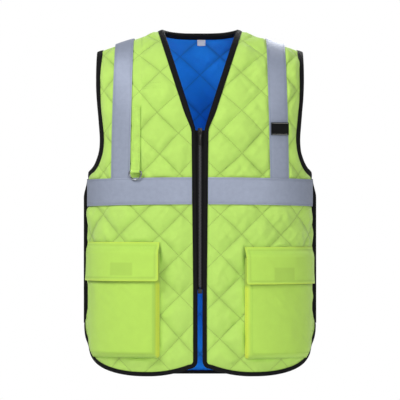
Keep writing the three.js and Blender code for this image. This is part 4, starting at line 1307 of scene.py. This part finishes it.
def make_flap(name, pocket, seed):
    """Flap with a turned edge, a stitched box for its fastener and its rows of stitches; painted shade lies
    along its stitch row, a painted highlight along its edges, and the cloth inside the box is darker.
    """
    spacing, rounding, inset, thick, gap = 0.0024, 0.004, 0.006, 0.0015, 0.0001
    inner, outer = pocket["inner"], POCKET_OUTER
    top, low = pocket["top"], pocket["top"] - pocket["drop"]
    turn = np.linspace(0, math.pi / 2, 6)
    near, far = rounding * (1 - np.cos(turn)), rounding * (1 - np.sin(turn))
    left = np.stack([inner + near, low + far], -1)
    right = np.stack([outer - far, low + near], -1)
    corners = np.concatenate([[[inner, top]], left, right, [[outer, top]], [[inner, top]]])
    outline = resampled(corners, spacing)[:-1]
    places, triangles = filled(outline, spacing, False)
    distance = distance_to(outline, *places.T)
    places = places * [pocket["side"], 1]
    a, v = places.T
    level = flap_level(pocket, a, v, seed)
    turned = 0.0005 * np.exp(-distance / 0.0012)
    stitched = 0.0004 * bell(distance, inset, 0.0011)
    face, rear, _ = raised("front", a, v, level + gap + thick - turned - stitched, level + gap)
    box_a, box_v = float(arc_at("front", pocket["box"][0])), pocket["box"][1]
    half_a, half_v = 0.020, 0.0125
    in_box = (np.abs(np.abs(a) - box_a) < half_a) & (np.abs(v - box_v) < half_v)
    # painted shade along the stitch row, where the flap is pressed in; inside the stitched box the cloth is
    # made darker too
    shade = np.maximum(0.35 * bell(distance, inset, 0.0013), 0.28 * in_box)
    # painted highlight along the flap's edges
    marks = {"shade": shade, "painted_highlight": 0.5 * np.exp(-distance / 0.0015)}
    obj = slab(f"flap_{name}", face, rear, triangles, places, marks)
    dress(obj, "pocket_cloth", f"flap_{name}")
    as_sheet(obj, *np.ptp(outline, axis=0), "hung", [f"shell_front_{name}"])

    def stitch_level(a, v):
        return flap_level(pocket, a, v, seed) + gap + thick - 0.0004 + THREAD_RISE

    signs = ((-1, -1), (1, -1), (1, 1), (-1, 1), (-1, -1))
    box = [[box_a + x * half_a, box_v + z * half_v] for x, z in signs]
    row, second_row, from_edge = top - 0.002, top - 0.0075, 0.001
    x0, x1, foot = inner + inset, outer - inset, low + inset
    lines = [
        [[x0, row], [x0, foot], [x1, foot], [x1, row]],
        [[inner + from_edge, row], [outer - from_edge, row]],
        [[inner + from_edge, second_row], [outer - from_edge, second_row]],
        box,
        [box[0], box[2]],
        [box[1], box[3]],
    ]
    return [run_on("front", np.array(line) * [pocket["side"], 1], stitch_level) for line in lines]


def make_pockets():
    runs = []
    for index, (name, pocket) in enumerate(POCKETS.items()):
        runs += make_pocket(name, pocket, 101 + 10 * index)
        runs += make_flap(name, pocket, 105 + 10 * index)
    stitches("stitches_pockets", runs, "lime", "pocket_cloth")


# Zip

TAPE_LEVEL = 0.0015
CHEST = -DEPTH["front"]


def make_zip_tapes():
    """Woven tapes from the middle of the zip to just inside the front bindings."""
    thick, middle_gap, short_of_edge = 0.0010, 0.0001, 0.0010
    for name, side in SIDES:
        v = np.linspace(ZIP_TOP, ZIP_END, 120)[:, None]
        share = (v - ZIP_TOP) / (ZIP_END - ZIP_TOP)
        outer_edge = lerp(ZIP_GAP_TOP, ZIP_GAP_BOTTOM, share) - short_of_edge
        a = side * lerp(middle_gap, outer_edge, np.linspace(0, 1, 7))
        v = v + 0 * a
        wave = 0.00012 * noise(v / 0.008, a / 0.004, 121 + side)
        outer, inner, _ = raised("front", a, v, TAPE_LEVEL + thick + wave, TAPE_LEVEL + wave)
        obj = grid_slab(f"zip_tape_{name}", outer, inner, np.stack([v, a], -1))
        dress(obj, "zip_cloth", f"zip_tape_{name}")


def make_teeth():
    """Moulded teeth, set by turns on the left and right cords of the chain."""
    pitch = 0.0027
    half_high = 0.00085
    count = int((ZIP_TOP - ZIP_END - 0.0045) / pitch)
    low, high = (-0.0006, CHEST - 0.0033, -half_high), (0.0026, CHEST - 0.0011, half_high)
    tooth = rounded_box("tooth", low, high, 0.0004, 2)
    shape = np.array([v.co for v in tooth.data.vertices])
    faces = [list(p.vertices) for p in tooth.data.polygons]
    bpy.data.objects.remove(tooth)
    points, polygons = [], []
    for i in range(count * 2):
        side = 1 if i % 2 else -1
        start = i * len(shape)
        points.append(shape * [side, 1, 1] + [0, 0, ZIP_TOP - 0.002 - i * pitch / 2])
        polygons += [[start + k for k in face[::side]] for face in faces]
    mesh = bpy.data.meshes.new("zip_chain")
    mesh.from_pydata(np.concatenate(points).tolist(), [], polygons)
    shade_smooth(mesh, HARD_CREASE)
    dress(linked("zip_chain", mesh), "zip_plastic", "zip_teeth")


def make_zip_box():
    """Black end box over the last of the chain."""
    wide = ZIP_GAP_BOTTOM - 0.0020
    low, high = (-wide, CHEST - 0.0034, ZIP_END - 0.007), (wide, CHEST - 0.0008, ZIP_END + 0.001)
    obj = rounded_box("zip_end_box", low, high, 0.0008)
    dress(obj, "zip_plastic", "zip_box", material=plain("zip_box_plastic", "0E0E10", 0.5))


SLIDER_TOP = ZIP_TOP + 0.004
PLATE_TOP = 0.0049
BRIDGE_MIDDLE = SLIDER_TOP - 0.0065
PIVOT_LEVEL = PLATE_TOP + 0.00105


def make_slider():
    """Two plates round the chain, joined by a wedge at the top, with a bridge for the pull."""
    half = 0.004
    foot = SLIDER_TOP - 0.012
    face = CHEST - PLATE_TOP
    low, high = (-0.0018, face + 0.001, SLIDER_TOP - 0.0032), (0.0018, CHEST, SLIDER_TOP - 0.0004)
    parts = [
        rounded_box("front_plate", (-half, face, foot), (half, face + 0.0013, SLIDER_TOP), 0.0006),
        rounded_box("rear_plate", (-half, CHEST - 0.0004, foot), (half, CHEST + 0.0007, SLIDER_TOP), 0.0005),
        rounded_box("wedge", low, high, 0.0005),
    ]
    for side in (-1, 1):
        low, high = sorted((side * half, side * (half - 0.0009)))
        ends = (low, CHEST - 0.0045, foot), (high, CHEST - 0.0026, SLIDER_TOP - 0.002)
        parts.append(rounded_box("rim", *ends, 0.0004))
    turn = np.linspace(0, math.pi, 15)
    reach, rise = 0.0031, 0.0028
    out = face + 0.0003 - rise * np.sin(turn) ** 0.6
    spots = np.stack([0 * turn, out, BRIDGE_MIDDLE + reach * np.cos(turn)], -1)
    parts.append(wire("bridge", spots, 0.0009, 0.0006, False))
    dress(joined("slider_body", parts), "zip_metal", "zip_slider")


def wire(name, spots, half_across, half_deep, closed, sides=12, side_axis=(1, 0, 0)):
    """A bar of elliptical section along the spots; one axis of the section stays along side_axis."""
    one = np.tile(np.array(side_axis, float), (len(spots), 1))
    two = unit(np.cross(tangents(spots, closed), one))
    turn = np.linspace(0, 2 * math.pi, sides, endpoint=False)[:, None]
    rings = spots[:, None] + one[:, None] * np.cos(turn) * half_across
    rings = rings + two[:, None] * np.sin(turn) * half_deep
    return sweep(name, rings, closed, run_lengths(spots), turn[:, 0] * half_across)


def make_pull():
    """Pull: a loop round the bridge and a tapered plate with a raised rim round its grip."""
    level = CHEST - PIVOT_LEVEL
    top = BRIDGE_MIDDLE + 0.0005
    half, eye, length = 0.0030, 0.0060, 0.026
    thick = 0.0005
    loop_top, loop_low = top - thick, top - eye
    corner = 0.0011
    middle_x = half - 0.0007 - corner
    turn = np.linspace(0, math.pi / 2, 5)
    path = []
    for quarter, (x, z) in enumerate(((1, 1), (-1, 1), (-1, -1), (1, -1))):
        angle = turn + quarter * math.pi / 2
        middle_z = loop_top - corner if z > 0 else loop_low + corner
        path.append(np.stack([x * middle_x + corner * np.cos(angle), level + 0 * angle,
                              middle_z + corner * np.sin(angle)], -1))
    loop = wire("loop", np.concatenate(path), thick, thick, True, side_axis=(0, 1, 0))
    side = half - 0.0002
    low, high = (-side, level - thick, top - length), (side, level + thick, loop_low + 0.0002)
    plate = rounded_box("plate", low, high, 0.00045)
    for vertex in plate.data.vertices:
        vertex.co.x *= 0.78 + 0.24 * (top - vertex.co.z) / length
    outer, inner, wide = 0.0022, 0.0016, 0.0006
    low, high = top - 0.0245, top - 0.0105
    rims = [
        rounded_box("rim", (x0, level - 0.0008, z0), (x1, level + 0.0008, z1), 0.00025, 2)
        for x0, x1, z0, z1 in (
            (-outer, -inner, low, high),
            (inner, outer, low, high),
            (-outer, outer, low, low + wide),
            (-outer, outer, high - wide, high),
        )
    ]
    dress(joined("pull_tab", [loop, plate, *rims]), "zip_metal", "zip_pull", body="zip_pull")


# Fittings

OVERLAY = 0.0088
EYE_RADIUS = 0.0020
STRAP_THICK = 0.0012
RING_LEVEL = OVERLAY + EYE_RADIUS + STRAP_THICK


def seat(face, a, v, w):
    """Origin and the directions across, up and out of a flat fitting on the body."""
    origins, normals = raised(face, np.array([a]), np.array([v]), w)
    out = normals[0]
    across = unit(np.cross([0, 0, 1], out))
    return origins[0], across, np.cross(out, across), out


def make_ring():
    """D ring: a straight bar, two short legs and a half circle of round wire."""
    a = -float(arc_at("front", STRAP_ACROSS))
    origin, across, up, out = seat("front", a, RING_BAR, RING_LEVEL)
    half, leg, corner, radius = 0.0115, 0.004, 0.0025, 0.0015
    turn = np.linspace(0, math.pi / 2, 7)
    right = np.stack([half - corner + corner * np.sin(turn), -corner + corner * np.cos(turn)], -1)
    turn = np.linspace(0, math.pi, 29)
    bow = np.stack([half * np.cos(turn), -leg - half * np.sin(turn)], -1)
    flat = np.concatenate([right, bow, right[::-1] * [-1, 1], right[:1]])
    flat = resampled(flat, 0.0012)[:-1]
    spots = origin + flat[:, :1] * across + flat[:, 1:] * up
    obj = wire("ring_wire", spots, radius, radius, True, sides=16, side_axis=tuple(out))
    dress(obj, "ring_metal", "d_ring", body="d_ring")


def strap_sag(along):
    """How far the strap sinks towards the chest at a distance up from the ring's bar."""
    return 0.0018 * smooth((along - 0.02) / 0.03)


def make_strap():
    """Webbing strap with its lower end folded round the ring's bar and stitched to itself."""
    outer = EYE_RADIUS + STRAP_THICK
    length = float(pattern_height("front", STRAP_ACROSS, STRAP_TOP)) - RING_BAR
    turn = np.linspace(0, 1.5 * math.pi, 22)
    hook = (EYE_RADIUS + STRAP_THICK / 2) * np.stack([np.cos(turn), np.sin(turn)], -1)
    back_run = np.array([
        [outer * 1.1, EYE_RADIUS * 0.4],
        [outer * 1.8, -EYE_RADIUS * 0.3],
        [outer * 3.4, -outer + STRAP_THICK * 1.7],
        [outer * 5.5, -outer + STRAP_THICK * 1.65],
    ])
    front_run = np.stack([np.linspace(0.004, length, 60), np.full(60, -outer + STRAP_THICK / 2)], -1)
    path = resampled(np.concatenate([back_run[::-1], hook, front_run]), 0.0015)
    along = unit(np.gradient(path, axis=0))
    side = np.stack([-along[:, 1], along[:, 0]], -1)
    across = np.linspace(-0.5, 0.5, 9) * STRAP_WIDTH
    middle = float(arc_at("front", STRAP_ACROSS))

    def layer(shift):
        run = path + side * shift
        x, y = run[:, :1] + 0 * across, run[:, 1:] + 0 * across
        return raised("front", -middle + across + 0 * x, RING_BAR + x, RING_LEVEL + y - strap_sag(x))[0]

    lengths = run_lengths(path)
    places = np.stack([lengths[:, None] + 0 * across, across + 0 * lengths[:, None]], -1)
    obj = grid_slab("ring_strap", layer(-STRAP_THICK / 2), layer(STRAP_THICK / 2), places)
    dress(obj, "strap_cloth", "ring_strap")
    as_sheet(obj, STRAP_WIDTH, lengths[-1], "hung", ["shell_front_right"])

    def stitch_level(a, v):
        return RING_LEVEL - outer + STRAP_THICK + THREAD_RISE - strap_sag(v - RING_BAR)

    inset = STRAP_WIDTH / 2 - 0.0022
    left, right = -middle - inset, -middle + inset
    low, high = RING_BAR + 0.014, RING_BAR + length - 0.002
    lines = [[[a, low], [a, high]] for a in (left, right)] + [[[left, v], [right, v]] for v in (high, low)]
    runs = [run_on("front", line, stitch_level) for line in lines]
    stitches("stitches_strap", runs, "lime", "strap_cloth")


def make_tab():
    """Radio tab: hook webbing across the tape, with a stitched edge at its top and bottom."""
    height, width, length, thick = -0.183, 0.036, 0.0235, 0.0025
    share = (height - FRONT_TAPE_TOP) / (float(seam_height("front", TAPE_AT_SEAM)) - FRONT_TAPE_TOP)
    middle = float(shoulder_middle(share))
    a, v = float(arc_at("front", middle)), float(pattern_height("front", middle, height))
    origin, across, up, out = seat("front", a, v, OVERLAY + 0.0017 + thick / 2)
    x, y = np.meshgrid(np.linspace(-width / 2, width / 2, 25), np.linspace(-length / 2, length / 2, 17))
    edge = np.minimum(width / 2 - np.abs(x), length / 2 - np.abs(y))
    half = (thick / 2 - 0.0006 * np.exp(-edge / 0.0012))[..., None]
    flat = origin + x[..., None] * across + y[..., None] * up
    obj = grid_slab("mic_tab", flat + out * half, flat - out * half, np.stack([x, y], -1))
    dress(obj, "tab_cloth", "mic_tab")
    as_sheet(obj, width, length, "laid", ["tape_shoulder_left"])
    runs = []
    spots = np.linspace(-width / 2 + 0.001, width / 2 - 0.001, 12)[:, None]
    for end in (-1, 1):
        line = origin + spots * across + end * (length / 2 - 0.0016) * up + out * (thick / 2 - 0.0001)
        runs.append((line, np.tile(out, (12, 1))))
    stitches("stitches_tab", runs, "white", "tab_cloth", pitch=0.0024, length=0.0017)


def make_label():
    """Bare woven label under the back neck binding."""
    top = EDGES["back_neck"][-1, 1] - NECK_BINDING - 0.0004
    width, length, middle = 0.0155, 0.014, 0.0025
    across = np.linspace(middle - width / 2, middle + width / 2, 13)
    a, v = np.meshgrid(across, top - np.linspace(0, length, 12))
    level = -0.0022 - 0.0010 * np.sin(math.pi * (a - a.min()) / width) * (top - v) / length
    outer, inner, _ = raised("back", a, v, level + 0.0003, level - 0.0002)
    obj = grid_slab("neck_label", outer, inner, np.stack([a, v], -1))
    dress(obj, "label_cloth", "neck_label")
    as_sheet(obj, width, length, "hung", ["lining_back"])


def make_chest_stitches():
    """Three short rows sewn through the right chest."""
    seed = PANELS["front_right"]["shell_seed"]

    def level(a, v):
        return shell_level("front", a, v, outline_distance("front", a, v), seed) + THREAD_RISE

    runs = []
    for height in (-0.100, -0.1065, -0.110):
        x = np.array([-0.106, -0.071])
        places = np.stack([arc_at("front", x), pattern_height("front", x, np.full(2, height))], -1)
        runs.append(run_on("front", places, level))
    stitches("stitches_chest", runs, "lime", "shell_cloth")


def make_world():
    """White surroundings, dimmer as a light than they look to the camera."""
    world = bpy.data.worlds.new("soft_light")
    world.use_nodes = True
    tree = world.node_tree
    background = tree.nodes["Background"]
    background.inputs["Color"].default_value = (1, 1, 1, 1)
    strength = tree.nodes.new("ShaderNodeMapRange")
    strength.inputs["To Min"].default_value = 0.30
    strength.inputs["To Max"].default_value = 1.0
    tree.links.new(tree.nodes.new("ShaderNodeLightPath").outputs["Is Camera Ray"], strength.inputs["Value"])
    tree.links.new(strength.outputs["Result"], background.inputs["Strength"])
    bpy.context.scene.world = world


# Stage

def make_stage():
    """Pale floor below, white surroundings, soft lights and a straight-on camera far away."""
    floor, reach, sides = -0.98, 5.6, 96
    turn = np.linspace(0, 2 * math.pi, sides, endpoint=False)
    rim = np.stack([reach * np.cos(turn), reach * np.sin(turn), floor + 0 * turn], -1)
    ground = mesh_object("ground", rim, [np.arange(sides)[None]])
    ground.data.materials.append(plain("ground", "F2F2F2", 0.9, variation=0.01))
    make_world()
    centre = Vector((0, 0, -0.315))
    for name, place, size, power in (
        ("key", (-1.6, -1.7, 1.8), 0.9, 50),
        ("fill", (0.8, -3.0, 0.6), 1.3, 34),
        ("rear", (0.7, 2.3, 1.4), 1.4, 52),
    ):
        light = bpy.data.lights.new(name, "AREA")
        light.size = size
        light.energy = power
        obj = linked(name, light)
        obj.location = place
        obj.rotation_euler = (centre - Vector(place)).to_track_quat("-Z", "Y").to_euler()
    camera = bpy.data.cameras.new("camera")
    camera.sensor_width = 36
    distance, seen = 8.0, 0.740
    camera.lens = camera.sensor_width * (distance + CHEST) / seen
    view = linked("camera", camera)
    view.location = (0, -distance, centre.z)
    view.rotation_euler = (math.pi / 2, 0, 0)
    bpy.context.scene.camera = view
    bpy.context.scene.view_settings.view_transform = "Standard"


make_stage()
make_panels()
make_bindings()
make_side_fins()
make_tapes()
make_pockets()
make_zip_tapes()
make_teeth()
make_zip_box()
make_slider()
make_pull()
make_ring()
make_strap()
make_tab()
make_label()
make_chest_stitches()
